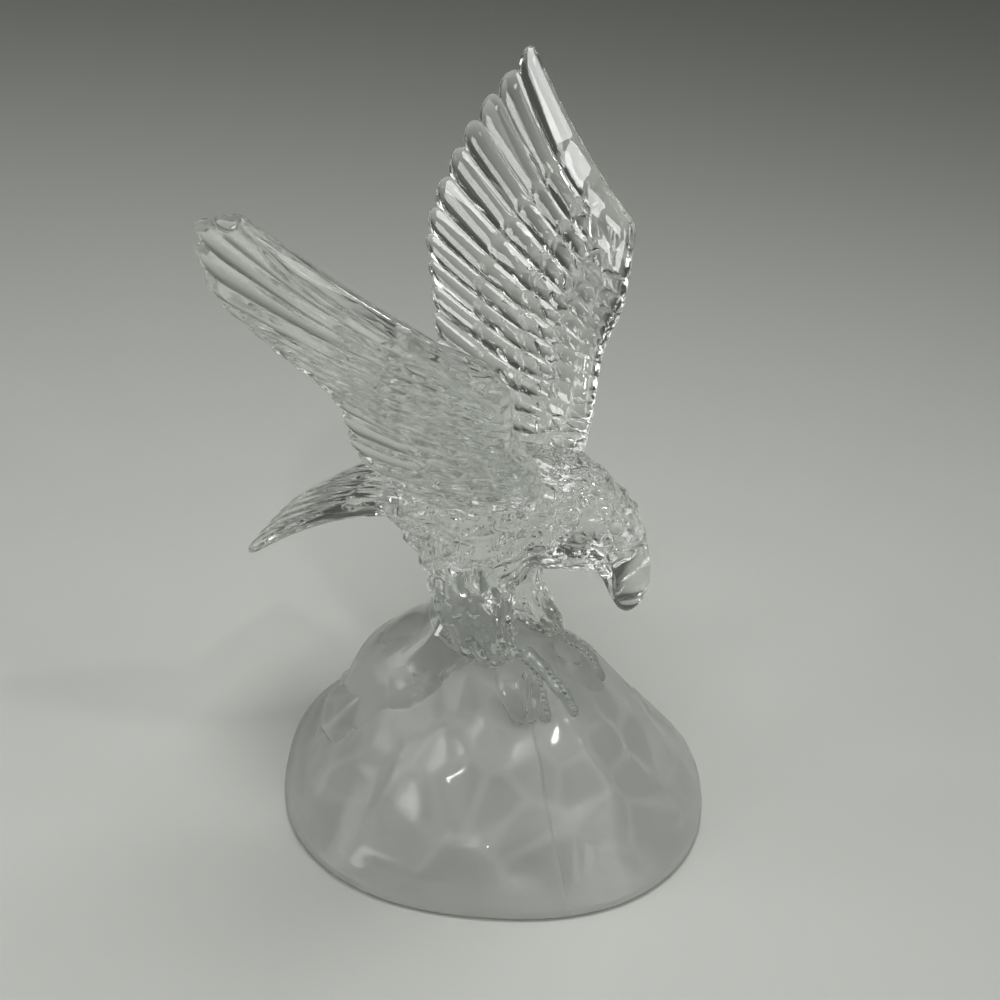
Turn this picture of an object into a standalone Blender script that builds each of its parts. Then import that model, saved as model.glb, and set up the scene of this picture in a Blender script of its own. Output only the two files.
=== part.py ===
"""Crystal eagle with raised wings, landing on a rock: one moulding of clear pressed glass.

The rock is an oval mound cut into shallow facets above a narrow band. The eagle grows out of it: trunk and
bowed head in one run, two feathered wings, a fanned tail, feathered thighs and four-toed feet. Sizes are in
metres. The eagle's pose and carving are shares of its own height, measured from the middle of the rock's top.
The eagle looks along -Y, and its right wing is at -X.
"""

import math
import random

import bmesh
import bpy
import numpy as np
from mathutils import Matrix, Vector
from mathutils.bvhtree import BVHTree

# Driving sizes
RIM_LENGTH = 0.1526  # the rock's oval foot, the long way
RIM_WIDTH = 0.1458  # and the short way
RIM_TURN = 20.0  # degrees from X to the long way
RIM_SQUARE = 2.3  # exponent of the foot's rounded oval
RIM_BAND = 0.003  # upright band round the foot
RIM_ROUND = 0.0015  # rounding under the band
ROCK_HEIGHT = 0.056
EAGLE_HEIGHT = 0.170  # from the rock's top to the wing tips

# The rock: facets in rings, as (share of the rim's radius, share of the rock's height, lean in degrees, count,
# share of the full stray)
FACET_RINGS = (
    (0.893, 0.17, 43.7, 17, 0.2),
    (0.859, 0.34, 38.9, 14, 1.0),
    (0.647, 0.56, 41.5, 11, 1.0),
    (0.452, 0.78, 53.7, 8, 1.0),
    (0.255, 0.95, 72.0, 6, 1.0),
)
FACET_SEED = 31
FACET_TURN = 0.35  # how far a facet strays along its ring, as a share of its spacing
FACET_LEAN = 7.0  # and from its lean, in degrees
FACET_DEPTH = 0.0016  # and outwards or inwards
FACET_EDGE = 0.0007  # width of the softened edges
FACET_SHARP = 9.0  # degrees between two facets from which their edge is softened
RIM_SIDES = 72
MOUND_LEAN = -0.025  # how far the top lies towards the tail's side, as a share of the foot's half width

# Stones on the mound: centre as shares of the rim's radius and the rock's height, radii, facets and a seed
STONES = (
    ("front stone", (0.10, -0.30, 0.56), (0.0165, 0.0150, 0.0170), 16, 5),
    ("back ledge", (-0.21, 0.56, 0.34), (0.0170, 0.0130, 0.0150), 13, 8),
    ("far ledge", (0.50, 0.34, 0.36), (0.0160, 0.0190, 0.0150), 13, 21),
)
STONE_STRAY = 0.3  # radians that a stone's facets stray round it
STONE_IN = 0.07  # how far they stray inwards, as a share of its radius
STONE_EDGE = 0.0014

# The eagle's shape, in shares of its height
# trunk and head: the back's line (y, z), the belly's line (y, z), half the width
TRUNK = (
    (0.259, 0.265, 0.235, 0.218, 0.035),
    (0.212, 0.290, 0.195, 0.196, 0.065),
    (0.141, 0.337, 0.160, 0.155, 0.088),
    (0.059, 0.382, 0.118, 0.108, 0.104),
    (-0.024, 0.414, 0.024, 0.106, 0.115),
    (-0.080, 0.423, -0.041, 0.147, 0.115),
    (-0.127, 0.418, -0.069, 0.190, 0.107),
    (-0.167, 0.396, -0.116, 0.197, 0.098),
    (-0.205, 0.363, -0.152, 0.204, 0.089),
    (-0.233, 0.331, -0.171, 0.211, 0.078),
    (-0.257, 0.297, -0.185, 0.207, 0.065),
    (-0.275, 0.251, -0.197, 0.193, 0.050),
    (-0.283, 0.212, -0.206, 0.174, 0.041),
    (-0.282, 0.176, -0.218, 0.153, 0.032),
    (-0.271, 0.150, -0.232, 0.135, 0.022),
    (-0.255, 0.131, -0.247, 0.128, 0.007),
)
TRUNK_RINGS = 34
TRUNK_SIDES = 20
TRUNK_SQUARE = 2.2  # exponent of the trunk's oval sections
BEAK_STARTS = 10.0  # the station where the plumage ends and the bare beak starts
TUFT = 0.0045  # height of the plumage's tufts

# left wing: front edge from the shoulder to the wrist, and the tips of the numbered feathers, counted from the body
ARM = (
    (0.050, -0.082, 0.320),
    (0.123, -0.091, 0.425),
    (0.221, -0.072, 0.538),
    (0.278, -0.087, 0.625),
    (0.348, -0.076, 0.689),
    (0.408, -0.057, 0.728),
)
TIP_FEATHERS = (1, 4, 7, 10, 13, 15, 16)
LEFT_TIPS = (
    (0.062, 0.100, 0.284),
    (0.203, 0.235, 0.422),
    (0.268, 0.294, 0.567),
    (0.368, 0.353, 0.688),
    (0.528, 0.347, 0.831),
    (0.592, 0.287, 0.944),
    (0.625, 0.264, 0.982),
)
RIGHT_TIPS = (
    (0.062, 0.100, 0.284),
    (0.200, 0.217, 0.421),
    (0.259, 0.243, 0.560),
    (0.361, 0.309, 0.683),
    (0.514, 0.343, 0.834),
    (0.594, 0.294, 0.953),
    (0.614, 0.242, 0.975),
)
WING_FEATHERS = 16
HAND_SHARE = 0.35  # share of the arm's length that the outermost feathers spring from
HAND_POWER = 10  # how closely their roots crowd at the wrist
WING_EDGE = 0.0255  # half thickness at the rolled front edge
WING_MIDDLE = 0.0165
WING_TIP = 0.0105
WING_FRONT = 0.62  # the foremost row's half thickness, as a share of the edge's
WING_ROLL = 0.3  # level at which the rolled edge has run out
WING_THINS = 0.4  # level from which the feathers thin towards their tips
HAND_BLADE = 0.017  # half thickness of the outermost feather, which is as thick as the front edge
HAND_THIN = 0.4  # and the share that it loses towards its tip
HAND_OUTER = 0.35  # thickness left at its outer side, as a share
HAND_FALL = 0.3  # share of its width over which it falls to that
HAND_CLOSE = 0.25  # how far the outermost feather's outer side spreads past its middle, as a share of the others'
WING_COVERTS = ((0.40, 0.0050), (0.65, 0.0050))  # where each row of coverts ends, and its step
WING_SCALLOP = 0.060  # depth of the rounded feather ends, as a share of the feather's length
WING_POINT = 0.110  # the same on the outer side of the outermost feather
WING_ARCH = -0.016
WING_ROWS = (0.0, 0.06, 0.16, 0.26, 0.84, 0.99)  # levels of the other rows of points
COVERT_STEP = 0.015  # half the length of the step at the end of a row of coverts

TAIL_ROOT = ((-0.071, 0.165, 0.264), (0.000, 0.153, 0.276), (0.071, 0.165, 0.264))
TAIL_TIPS = ((-0.202, 0.455, 0.157), (0.000, 0.468, 0.158), (0.192, 0.440, 0.154))
TAIL_FEATHERS = 9
TAIL_ROOT_HALF = 0.019
TAIL_TIP_HALF = 0.010
TAIL_SCALLOP = 0.080
TAIL_ROWS = (0.0, 0.25, 0.5, 0.75, 0.97)
TAIL_SIDE_THIN = 0.55  # how much of its thickness the fan loses at its sides
TAIL_SIDE_POWER = 8  # and how suddenly
TAIL_ARCH = 0.034
FEATHER_CROWN = 0.0050  # rise of each feather between its grooves
CROWN_STARTS = (0.1, 0.45)  # levels over which the grooves come up out of the coverts
SCALLOP_STARTS = 0.2  # level from which the rows bend towards the scalloped ends
FEATHER_PLACES = (0.0, 0.3, 0.7)  # columns of points across a feather
LAST_PLACES = (0.85, 1.0)  # further ones on the outermost feather
BLADE_ROUND = 0.018  # rounding of a blade's edge, as a share of its feathers' length

# legs: centre (x, y, z), half the width, half the depth, from the trunk to the ankle
RIGHT_LEG = (
    (-0.059, 0.059, 0.247, 0.053, 0.088),
    (-0.071, 0.041, 0.176, 0.059, 0.084),
    (-0.074, 0.035, 0.106, 0.057, 0.078),
    (-0.076, 0.020, 0.059, 0.054, 0.070),
    (-0.076, 0.006, 0.024, 0.050, 0.062),
    (-0.076, -0.004, 0.002, 0.038, 0.048),
    (-0.076, -0.010, -0.090, 0.034, 0.044),
)
LEFT_LEG = (
    (0.059, 0.053, 0.247, 0.053, 0.088),
    (0.069, 0.041, 0.176, 0.057, 0.080),
    (0.073, 0.028, 0.118, 0.054, 0.070),
    (0.080, 0.006, 0.071, 0.050, 0.062),
    (0.086, -0.026, 0.029, 0.044, 0.052),
    (0.092, -0.058, -0.008, 0.034, 0.038),
    (0.092, -0.068, -0.110, 0.032, 0.036),
)
LEG_SIDES = 14
LEG_BARE = (-0.01, 0.03)  # heights between which the plumage comes in above the bare ankle
# smooth flare that joins the trunk to the rock: centre (x, y), height, half the width, half the depth
FLARE = (
    (-0.012, 0.098, -0.180, 0.205, 0.222),
    (-0.012, 0.104, -0.082, 0.172, 0.176),
    (-0.012, 0.100, -0.035, 0.138, 0.138),
    (-0.010, 0.094, -0.004, 0.114, 0.110),
    (-0.008, 0.080, 0.030, 0.088, 0.080),
    (-0.006, 0.072, 0.066, 0.070, 0.066),
    (-0.006, 0.066, 0.105, 0.058, 0.058),
)
FLARE_SIDES = 24

# toes: where each starts and ends on the rock (x, y), from the ankle outwards, and half its width
RIGHT_TOES = (
    ((-0.062, -0.010), (-0.168, -0.112), 0.034),
    ((-0.045, -0.040), (-0.118, -0.172), 0.026),
    ((-0.030, -0.055), (-0.072, -0.190), 0.024),
    ((-0.090, 0.030), (-0.140, 0.078), 0.024),
)
LEFT_TOES = (
    ((0.075, -0.080), (0.010, -0.160), 0.024),
    ((0.090, -0.090), (0.062, -0.200), 0.026),
    ((0.110, -0.080), (0.150, -0.160), 0.026),
    ((0.115, -0.030), (0.165, 0.025), 0.024),
)
TOE_RINGS = 7
TOE_SIDES = 8
TOE_SINK = 0.35  # share of a toe's thickness that lies in the rock
TOE_KEEL = 3.0  # depth of the glass under a toe, in half widths
TOE_TAPER = 0.25  # share of its width that a toe loses by its talon
TOE_KNUCKLE = 0.12  # swelling of every other ring
TALON_HALF = 0.45  # a talon's half width, as a share of its toe's

EYE_PLACE = (0.069, -0.211, 0.307)
EYE_HALF = 0.017


def at(x, y, z):
    """A point of the eagle, from shares of its height."""
    return np.array((x, y, z)) * EAGLE_HEIGHT + np.array((0.0, 0.0, ROCK_HEIGHT))


def along(points, place):
    """A smooth curve through points, at place 0 on the first point and len(points) - 1 on the last."""
    points = np.asarray(points, float)
    last = len(points) - 1
    start = min(max(int(math.floor(place)), 0), last - 1)
    t = place - start
    b, c = points[start], points[start + 1]
    a = points[start - 1] if start else 2 * b - c
    d = points[start + 2] if start + 2 <= last else 2 * c - b
    return b + 0.5 * t * (c - a + t * (2 * a - 5 * b + 4 * c - d + t * (3 * (b - c) + d - a)))


def smooth(low, high, value):
    """0 below low, 1 above high and an even S between them."""
    t = min(max((value - low) / (high - low), 0.0), 1.0)
    return t * t * (3 - 2 * t)


def glass(name, roughness):
    """Clear crystal, ground smooth or left satin."""
    material = bpy.data.materials.new(name)
    material.use_nodes = True
    shader = material.node_tree.nodes["Principled BSDF"]
    shader.inputs["Base Color"].default_value = (0.93, 0.95, 0.94, 1.0)
    shader.inputs["Roughness"].default_value = roughness
    shader.inputs["Metallic"].default_value = 0.0
    shader.inputs["Transmission Weight"].default_value = 1.0
    shader.inputs["IOR"].default_value = 1.545
    return material


def object_of(name, bm):
    """The finished object of a bmesh, with its faces pointing out."""
    bmesh.ops.recalc_face_normals(bm, faces=bm.faces)
    mesh = bpy.data.meshes.new(name)
    bm.to_mesh(mesh)
    bm.free()
    thing = bpy.data.objects.new(name, mesh)
    bpy.context.scene.collection.objects.link(thing)
    return thing


def loft(rings):
    """A closed body through rings of as many points each, capped at both ends."""
    bm = bmesh.new()
    rows = [[bm.verts.new(point) for point in ring] for ring in rings]
    count = len(rows[0])
    for low, high in zip(rows, rows[1:]):
        for k in range(count):
            n = (k + 1) % count
            bm.faces.new((low[k], low[n], high[n], high[k]))
    bm.faces.new(rows[0][::-1])
    bm.faces.new(rows[-1])
    return bm


def oval(centre, half_x, half_y, sides):
    """A level oval ring round a centre."""
    turns = (2 * math.pi * k / sides for k in range(sides))
    return [centre + np.array((half_x * math.cos(a), half_y * math.sin(a), 0.0)) for a in turns]


def cut_off(bm, point, normal):
    """Cuts away what lies beyond a plane and closes the cut."""
    geometry = bm.verts[:] + bm.edges[:] + bm.faces[:]
    cut = bmesh.ops.bisect_plane(
        bm, geom=geometry, dist=1e-7, plane_co=point, plane_no=normal, clear_outer=True
    )
    edges = [piece for piece in cut["geom_cut"] if isinstance(piece, bmesh.types.BMEdge)]
    if edges:
        bmesh.ops.contextual_create(bm, geom=edges)


def foot_point(turn, share, z):
    """A point of the rock's rounded oval outline, drawn in to a share of its size, at height z."""
    power = 2 / RIM_SQUARE
    c, s = math.cos(turn), math.sin(turn)
    x = RIM_LENGTH / 2 * share * math.copysign(abs(c) ** power, c)
    y = RIM_WIDTH / 2 * share * math.copysign(abs(s) ** power, s)
    return Matrix.Rotation(math.radians(RIM_TURN), 3, "Z") @ Vector((x, y, z))


def foot_side(turn):
    """The level direction that the outline faces at a turn."""
    power = 2 - 2 / RIM_SQUARE
    c, s = math.cos(turn), math.sin(turn)
    x = math.copysign(abs(c) ** power, c) / RIM_LENGTH
    y = math.copysign(abs(s) ** power, s) / RIM_WIDTH
    return Matrix.Rotation(math.radians(RIM_TURN), 3, "Z") @ Vector((x, y, 0.0)).normalized()


def facet_planes(rng):
    """The planes of the mound's facets, ring by ring, as (point, normal)."""
    for share, rise, lean, count, stray in FACET_RINGS:
        for k in range(count):
            turn = 2 * math.pi * (k + FACET_TURN * rng.uniform(-1, 1)) / count
            up = math.radians(lean + FACET_LEAN * stray * rng.uniform(-1, 1))
            out = FACET_DEPTH * stray * rng.uniform(-1, 1)
            point = foot_point(turn, share, ROCK_HEIGHT * rise)
            point.y += MOUND_LEAN * rise * RIM_WIDTH / 2
            normal = foot_side(turn) * math.cos(up) + Vector((0.0, 0.0, math.sin(up)))
            yield point + normal * out, normal


def mound():
    """The rock's oval mound: a narrow band at its foot, and facets above it."""
    levels = ((RIM_ROUND, 0.0), (0.0, RIM_ROUND), (0.0, RIM_BAND), (0.0, ROCK_HEIGHT))
    turns = [2 * math.pi * k / RIM_SIDES for k in range(RIM_SIDES)]
    bm = loft([[foot_point(a, 1 - 2 * inset / RIM_WIDTH, z) for a in turns] for inset, z in levels])
    for point, normal in facet_planes(random.Random(FACET_SEED)):
        cut_off(bm, point, normal)
    bmesh.ops.dissolve_limit(bm, angle_limit=math.radians(0.5), verts=bm.verts, edges=bm.edges)
    sharp = [edge for edge in bm.edges if edge.calc_face_angle(0.0) > math.radians(FACET_SHARP)]
    raised = [edge for edge in sharp if min(v.co.z for v in edge.verts) > RIM_ROUND * 2]
    bmesh.ops.bevel(bm, geom=raised, offset=FACET_EDGE, segments=1, affect="EDGES", clamp_overlap=True)
    return object_of("mound", bm)


def stone(name, centre, radii, facets, seed):
    """A boulder on the mound: planes laid round an oval ball, evenly spread and a little strayed."""
    rng = random.Random(seed)
    middle = Vector((centre[0] * RIM_WIDTH / 2, centre[1] * RIM_WIDTH / 2, centre[2] * ROCK_HEIGHT))
    bm = bmesh.new()
    bmesh.ops.create_cube(bm, size=4 * max(radii))
    bmesh.ops.translate(bm, verts=bm.verts, vec=middle)
    for k in range(facets):
        level = 1 - (2 * k + 1) / facets
        turn = math.pi * (3 - math.sqrt(5)) * k + rng.uniform(-STONE_STRAY, STONE_STRAY)
        round_ = math.sqrt(1 - level * level)
        way = Vector((round_ * math.cos(turn), round_ * math.sin(turn), level))
        touch = Vector(radii) * way
        normal = Vector(tuple(part / radius for part, radius in zip(way, radii))).normalized()
        cut_off(bm, middle + touch * (1 - STONE_IN * rng.random()), normal)
    bmesh.ops.bevel(bm, geom=bm.edges[:], offset=STONE_EDGE, segments=1, affect="EDGES", clamp_overlap=True)
    return object_of(name, bm)


def trunk():
    """Rump, back, neck, bowed head and hooked beak in one run, with tufted plumage up to the beak."""
    rings = []
    last = len(TRUNK) - 1
    for i in range(TRUNK_RINGS):
        place = last * i / (TRUNK_RINGS - 1)
        back_y, back_z, belly_y, belly_z, half = along(TRUNK, place)
        back, belly = np.array((0.0, back_y, back_z)), np.array((0.0, belly_y, belly_z))
        middle, arm = (back + belly) / 2, (back - belly) / 2
        plumage = 1 - smooth(BEAK_STARTS - 1, BEAK_STARTS, place)
        ring = []
        for k in range(TRUNK_SIDES):
            turn = 2 * math.pi * k / TRUNK_SIDES
            c, s = math.cos(turn), math.sin(turn)
            rise = math.copysign(abs(c) ** (2 / TRUNK_SQUARE), c)
            side = math.copysign(abs(s) ** (2 / TRUNK_SQUARE), s)
            out = arm * rise + np.array((half * side, 0.0, 0.0))
            tuft = TUFT * plumage * (1 if (i + k) % 2 else -1)
            ring.append(at(*(middle + out * (1 + tuft / np.linalg.norm(out)))))
        rings.append(ring)
    return object_of("trunk", loft(rings))


def feathered_blade(name, root, tip, half, columns, levels, arch, side):
    """A blade of feathers laid side by side, as a closed body.

    root and tip give the blade's root and tip line at a place from 0 to 1, half its half thickness at a place
    and a level, columns the (place, share across its feather, scallop) of each column, levels the rows' shares
    of the feather's length, and arch the rise of its middle. side is 1 or -1, and mirrors the blade in X.
    """
    rings = []
    for place, across, scallop in columns:
        start, end = root(place), tip(place)
        step = 1e-3
        spread = (root(place + step) - root(place - step), tip(place + step) - tip(place - step))
        bow = 1 - math.sqrt(max(1 - (2 * across - 1) ** 2, 0.0))
        faces = []
        for level in levels:
            reach = level - scallop * bow * smooth(SCALLOP_STARTS, 1.0, level)
            point = start + (end - start) * reach + np.array((0.0, 0.0, 4 * arch * level * (1 - level)))
            normal = np.cross(spread[0] * (1 - level) + spread[1] * level, end - start)
            normal /= np.linalg.norm(normal)
            rise = half(place, level) + FEATHER_CROWN * math.sin(math.pi * across) * smooth(*CROWN_STARTS, level)
            faces.append((point, normal * rise))
        front = [point + normal for point, normal in faces]
        back = [point - normal for point, normal in faces[::-1]]
        lead = start - (end - start) * BLADE_ROUND
        trail = faces[-1][0] + (end - start) * BLADE_ROUND / 2
        ring = [lead] + front + [trail] + back
        rings.append([at(side * x, y, z) for x, y, z in ring])
    return object_of(name, loft(rings))


def feather_columns(feathers, scallop, point):
    """The columns of all feathers, from the body outwards; point is the outermost one's outer scallop."""
    inner = [(k, across, scallop) for k in range(feathers) for across in FEATHER_PLACES]
    outer = [(feathers - 1, across, point) for across in LAST_PLACES]
    return [((k + across) / feathers, across, depth) for k, across, depth in inner + outer]


def wing(name, side, tips):
    """A raised wing: rolled front edge, two rows of coverts and scalloped flight feathers."""
    def root(place):
        reach = (1 - HAND_SHARE) * place + HAND_SHARE * max(place, 0.0) ** HAND_POWER
        return along(ARM, reach * (len(ARM) - 1))

    def tip(place):
        number = place * WING_FEATHERS + 0.5
        past = max(number - WING_FEATHERS, 0.0) * HAND_CLOSE
        before = min(number - 1, 0.0) / 3
        return along(tips, np.interp(number, TIP_FEATHERS, range(len(tips))) + past + before)

    def half(place, level):
        if level == 0:
            level_half = WING_FRONT * WING_EDGE
        else:
            level_half = WING_EDGE + (WING_MIDDLE - WING_EDGE) * smooth(0.0, WING_ROLL, level)
            level_half += (WING_TIP - WING_MIDDLE) * smooth(WING_THINS, 1.0, level)
        level_half += sum(lift for ends, lift in WING_COVERTS if level < ends)
        last = place * WING_FEATHERS - (WING_FEATHERS - 1)
        blade = HAND_BLADE * (1 - HAND_THIN * smooth(1 - WING_THINS, 1.0, level))
        level_half += (blade - level_half) * smooth(0.0, 1 - HAND_FALL, last) * smooth(0.1, WING_ROLL, level)
        return level_half * (1 - (1 - HAND_OUTER) * smooth(1 - HAND_FALL, 1.0, last))

    levels = list(WING_ROWS)
    for ends, _ in WING_COVERTS:
        levels += [ends - COVERT_STEP, ends + COVERT_STEP]
    levels.sort()
    columns = feather_columns(WING_FEATHERS, WING_SCALLOP, WING_POINT)
    return feathered_blade(name, root, tip, half, columns, levels, WING_ARCH, side)


def tail():
    """The spread tail: a thick fan of straight feathers."""
    def root(place):
        return along(TAIL_ROOT, 2 * place)

    def tip(place):
        return along(TAIL_TIPS, 2 * place)

    def half(place, level):
        edge = 1 - TAIL_SIDE_THIN * abs(2 * place - 1) ** TAIL_SIDE_POWER
        return (TAIL_ROOT_HALF + (TAIL_TIP_HALF - TAIL_ROOT_HALF) * level) * edge

    columns = feather_columns(TAIL_FEATHERS, TAIL_SCALLOP, TAIL_SCALLOP)
    return feathered_blade("tail", root, tip, half, columns, TAIL_ROWS, TAIL_ARCH, 1)


def leg(name, stations):
    """A feathered thigh that narrows to the ankle, its tufts set brick-wise."""
    rings = []
    count = 2 * len(stations) - 1
    for i in range(count):
        x, y, z, half_x, half_y = along(stations, i / 2)
        plumage = smooth(*LEG_BARE, z)
        ring = []
        for k in range(LEG_SIDES):
            turn = 2 * math.pi * k / LEG_SIDES
            tuft = TUFT * plumage * (1 if (i + k) % 2 else -1)
            ring.append(at(x + (half_x + tuft) * math.cos(turn), y + (half_y + tuft) * math.sin(turn), z))
        rings.append(ring)
    return object_of(name, loft(rings))


def flare():
    """The smooth, hollow-sided flare between the trunk and the rock."""
    rings = []
    for i in range(2 * len(FLARE) - 1):
        x, y, z, half_x, half_y = along(FLARE, i / 2)
        rings.append(oval(at(x, y, z), half_x * EAGLE_HEIGHT, half_y * EAGLE_HEIGHT, FLARE_SIDES))
    return object_of("flare", loft(rings))


def toe(name, surface, start, end, half):
    """A toe that lies along the rock and ends in a blunt talon. surface gives the rock's height at (x, y)."""
    start, end = np.array(start) * EAGLE_HEIGHT, np.array(end) * EAGLE_HEIGHT
    path = []
    for i in range(TOE_RINGS):
        x, y = start + (end - start) * i / (TOE_RINGS - 1)
        path.append(np.array((x, y, surface(x, y))))
    rings = []
    for i, point in enumerate(path):
        ahead = path[min(i + 1, TOE_RINGS - 1)] - path[max(i - 1, 0)]
        ahead /= np.linalg.norm(ahead)
        across = np.cross(ahead, (0.0, 0.0, 1.0))
        across /= np.linalg.norm(across)
        lift = np.cross(across, ahead)
        radius = half * EAGLE_HEIGHT * (1 - TOE_TAPER * i / (TOE_RINGS - 1))
        radius *= TALON_HALF if i == TOE_RINGS - 1 else 1 + TOE_KNUCKLE * (i % 2)
        centre = point + lift * radius * (1 - 2 * TOE_SINK)
        ring = []
        for k in range(TOE_SIDES):
            turn = 2 * math.pi * k / TOE_SIDES
            rise = math.sin(turn) * (1.0 if math.sin(turn) > 0 else TOE_KEEL)
            ring.append(centre + radius * (across * math.cos(turn) + lift * rise))
        rings.append(ring)
    return object_of(name, loft(rings))


def eye(name, side):
    """A round eye under the brow."""
    bm = bmesh.new()
    bmesh.ops.create_uvsphere(bm, u_segments=10, v_segments=6, radius=EYE_HALF * EAGLE_HEIGHT)
    x, y, z = EYE_PLACE
    bmesh.ops.translate(bm, verts=bm.verts, vec=at(side * x, y, z))
    return object_of(name, bm)


def height_of(pieces):
    """The height of the topmost of the pieces at (x, y)."""
    graph = bpy.context.evaluated_depsgraph_get()
    trees = [BVHTree.FromObject(piece, graph) for piece in pieces]

    def surface(x, y):
        hits = (tree.ray_cast(Vector((x, y, 1.0)), Vector((0.0, 0.0, -1.0)))[0] for tree in trees)
        return max((hit.z for hit in hits if hit is not None), default=0.0)

    return surface


def fuse(whole, pieces):
    """Joins the pieces to the whole as one body, and keeps them only as its guides."""
    group = bpy.data.collections.new("fused pieces")
    bpy.context.scene.collection.children.link(group)
    for piece in pieces:
        bpy.context.scene.collection.objects.unlink(piece)
        group.objects.link(piece)
        piece.hide_render = True
        piece.display_type = "WIRE"
    join = whole.modifiers.new("one moulding", "BOOLEAN")
    join.operation = "UNION"
    join.solver = "EXACT"
    join.operand_type = "COLLECTION"
    join.collection = group


def main():
    for thing in list(bpy.data.objects):
        bpy.data.objects.remove(thing)
    eagle = mound()
    eagle.name = "crystal_eagle"
    eagle.data.materials.append(glass("crystal", 0.03))
    stones = [stone(*sizes) for sizes in STONES]
    bpy.context.view_layer.update()
    surface = height_of([eagle] + stones)
    pieces = stones + [flare(), trunk(), leg("right leg", RIGHT_LEG), leg("left leg", LEFT_LEG), tail()]
    for foot, toes in (("right", RIGHT_TOES), ("left", LEFT_TOES)):
        pieces += [toe(f"{foot} toe {k}", surface, *sizes) for k, sizes in enumerate(toes)]
    for name, side, tips in (("left", 1, LEFT_TIPS), ("right", -1, RIGHT_TIPS)):
        pieces += [wing(f"{name} wing", side, tips), eye(f"{name} eye", side)]
    fuse(eagle, pieces)


main()
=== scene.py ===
"""Crystal eagle landing on a rock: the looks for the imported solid, and a plain studio round it.

The object is one moulding of pressed glass. Its trunk, wings, tail, legs, feet and rock are built here as closed,
finely carved bodies, joined into one surface and dressed in clear and satin crystal. The eagle's carving is in
shares of its own height above the rock's top, everything else in metres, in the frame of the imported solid. The
eagle looks along -Y, and its right wing is at -X.
"""

import logging
import math
import random
from dataclasses import dataclass, field
from enum import Enum
from typing import Sequence

import bmesh
import bpy
import numpy as np
from mathutils import Matrix, Vector
from mathutils.bvhtree import BVHTree

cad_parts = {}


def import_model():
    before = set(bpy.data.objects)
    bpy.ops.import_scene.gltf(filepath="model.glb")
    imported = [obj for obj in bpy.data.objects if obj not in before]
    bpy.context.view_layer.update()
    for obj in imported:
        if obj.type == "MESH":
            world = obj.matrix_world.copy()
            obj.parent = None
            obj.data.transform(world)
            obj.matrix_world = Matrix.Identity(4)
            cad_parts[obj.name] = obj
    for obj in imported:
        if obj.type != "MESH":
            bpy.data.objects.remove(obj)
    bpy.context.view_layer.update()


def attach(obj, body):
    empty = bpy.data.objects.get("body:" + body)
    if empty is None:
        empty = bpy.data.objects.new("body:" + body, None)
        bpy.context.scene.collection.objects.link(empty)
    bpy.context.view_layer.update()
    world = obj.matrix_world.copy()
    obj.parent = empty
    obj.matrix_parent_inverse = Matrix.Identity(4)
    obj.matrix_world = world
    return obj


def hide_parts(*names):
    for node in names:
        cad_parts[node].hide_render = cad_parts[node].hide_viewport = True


LOG = logging.getLogger("crystal eagle")

NODE = "crystal_eagle"
BODY = "root"
HAZE = "haze"  # the attribute that tells where the rock is hazy

EAGLE_HEIGHT = 0.170  # from the rock's top to the wing tips
ROCK_HEIGHT = 0.056

LAP = 0.90  # share of a feather's width or length from which it falls to the next one
GOLDEN_TURN = math.pi * (3 - math.sqrt(5))  # a turn that spreads points evenly over a ball
SPREAD = (12.9898, 78.233, 43758.5453)  # numbers without a pattern, which only spread strays evenly


class Side(Enum):
    """A side of the eagle, as the sign of its X."""

    LEFT = 1
    RIGHT = -1


class Skin(Enum):
    """What a body's surface is like, as its place in the moulding's list of materials."""

    CLEAR = 0
    ROCK = 1
    FROSTED = 2


@dataclass(frozen=True)
class Crystal:
    """A finish of the glass: plain shader values, its faint waviness, and its haze."""

    name: str
    colour: tuple[float, float, float]
    roughness: float
    transmission: float
    index: float = 1.545
    coat: float = 0.0
    coat_roughness: float = 0.035
    wave_scale: float = 60.0
    wave: float = 0.0
    haze: float = 0.0  # added roughness where the surface is hazy
    # paler colour where the surface is hazy: frosting, and on the rock's pad edges also painted sheen
    haze_and_sheen_colour: tuple[float, float, float] = (0.97, 0.98, 0.95)


def in_frame(points: np.ndarray) -> np.ndarray:
    """Points in shares of the eagle's height, moved into the row's frame in metres."""
    return np.asarray(points, float) * EAGLE_HEIGHT + np.array((0.0, 0.0, ROCK_HEIGHT))


def along(points: Sequence, places: np.ndarray) -> np.ndarray:
    """A smooth curve through points.

    Args:
        points: the points, of any dimension, that the curve passes through.
        places: where to read the curve, from 0 at the first point to len(points) - 1 at the last.

    Returns:
        One row of coordinates a place.
    """
    points = np.asarray(points, float)
    places = np.atleast_1d(np.asarray(places, float))
    last = len(points) - 1
    start = np.clip(np.floor(places).astype(int), 0, last - 1)
    t = (places - start)[:, None]
    b, c = points[start], points[start + 1]
    a = np.where((start > 0)[:, None], points[np.maximum(start - 1, 0)], 2 * b - c)
    d = np.where((start + 2 <= last)[:, None], points[np.minimum(start + 2, last)], 2 * c - b)
    return b + 0.5 * t * (c - a + t * (2 * a - 5 * b + 4 * c - d + t * (3 * (b - c) + d - a)))


def smooth(low: float, high: float, value: np.ndarray) -> np.ndarray:
    """0 below low, 1 above high and an even S between them."""
    t = np.clip((value - low) / (high - low), 0.0, 1.0)
    return t * t * (3 - 2 * t)


def rounding(across: np.ndarray, power: float = 2.6) -> np.ndarray:
    """How far a feather's rounded end falls back, from 0 in its middle to 1 at its sides."""
    return np.abs(2 * across - 1) ** power


def crown(across: np.ndarray, lean: float = 0.38) -> np.ndarray:
    """The rise across a feather: a soft swell that leans to the side where it laps over the next one."""
    return (1 - lean) * (1 - (2 * across - 1) ** 2) + lean * across * (1 - smooth(LAP, 1.0, across))


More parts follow.
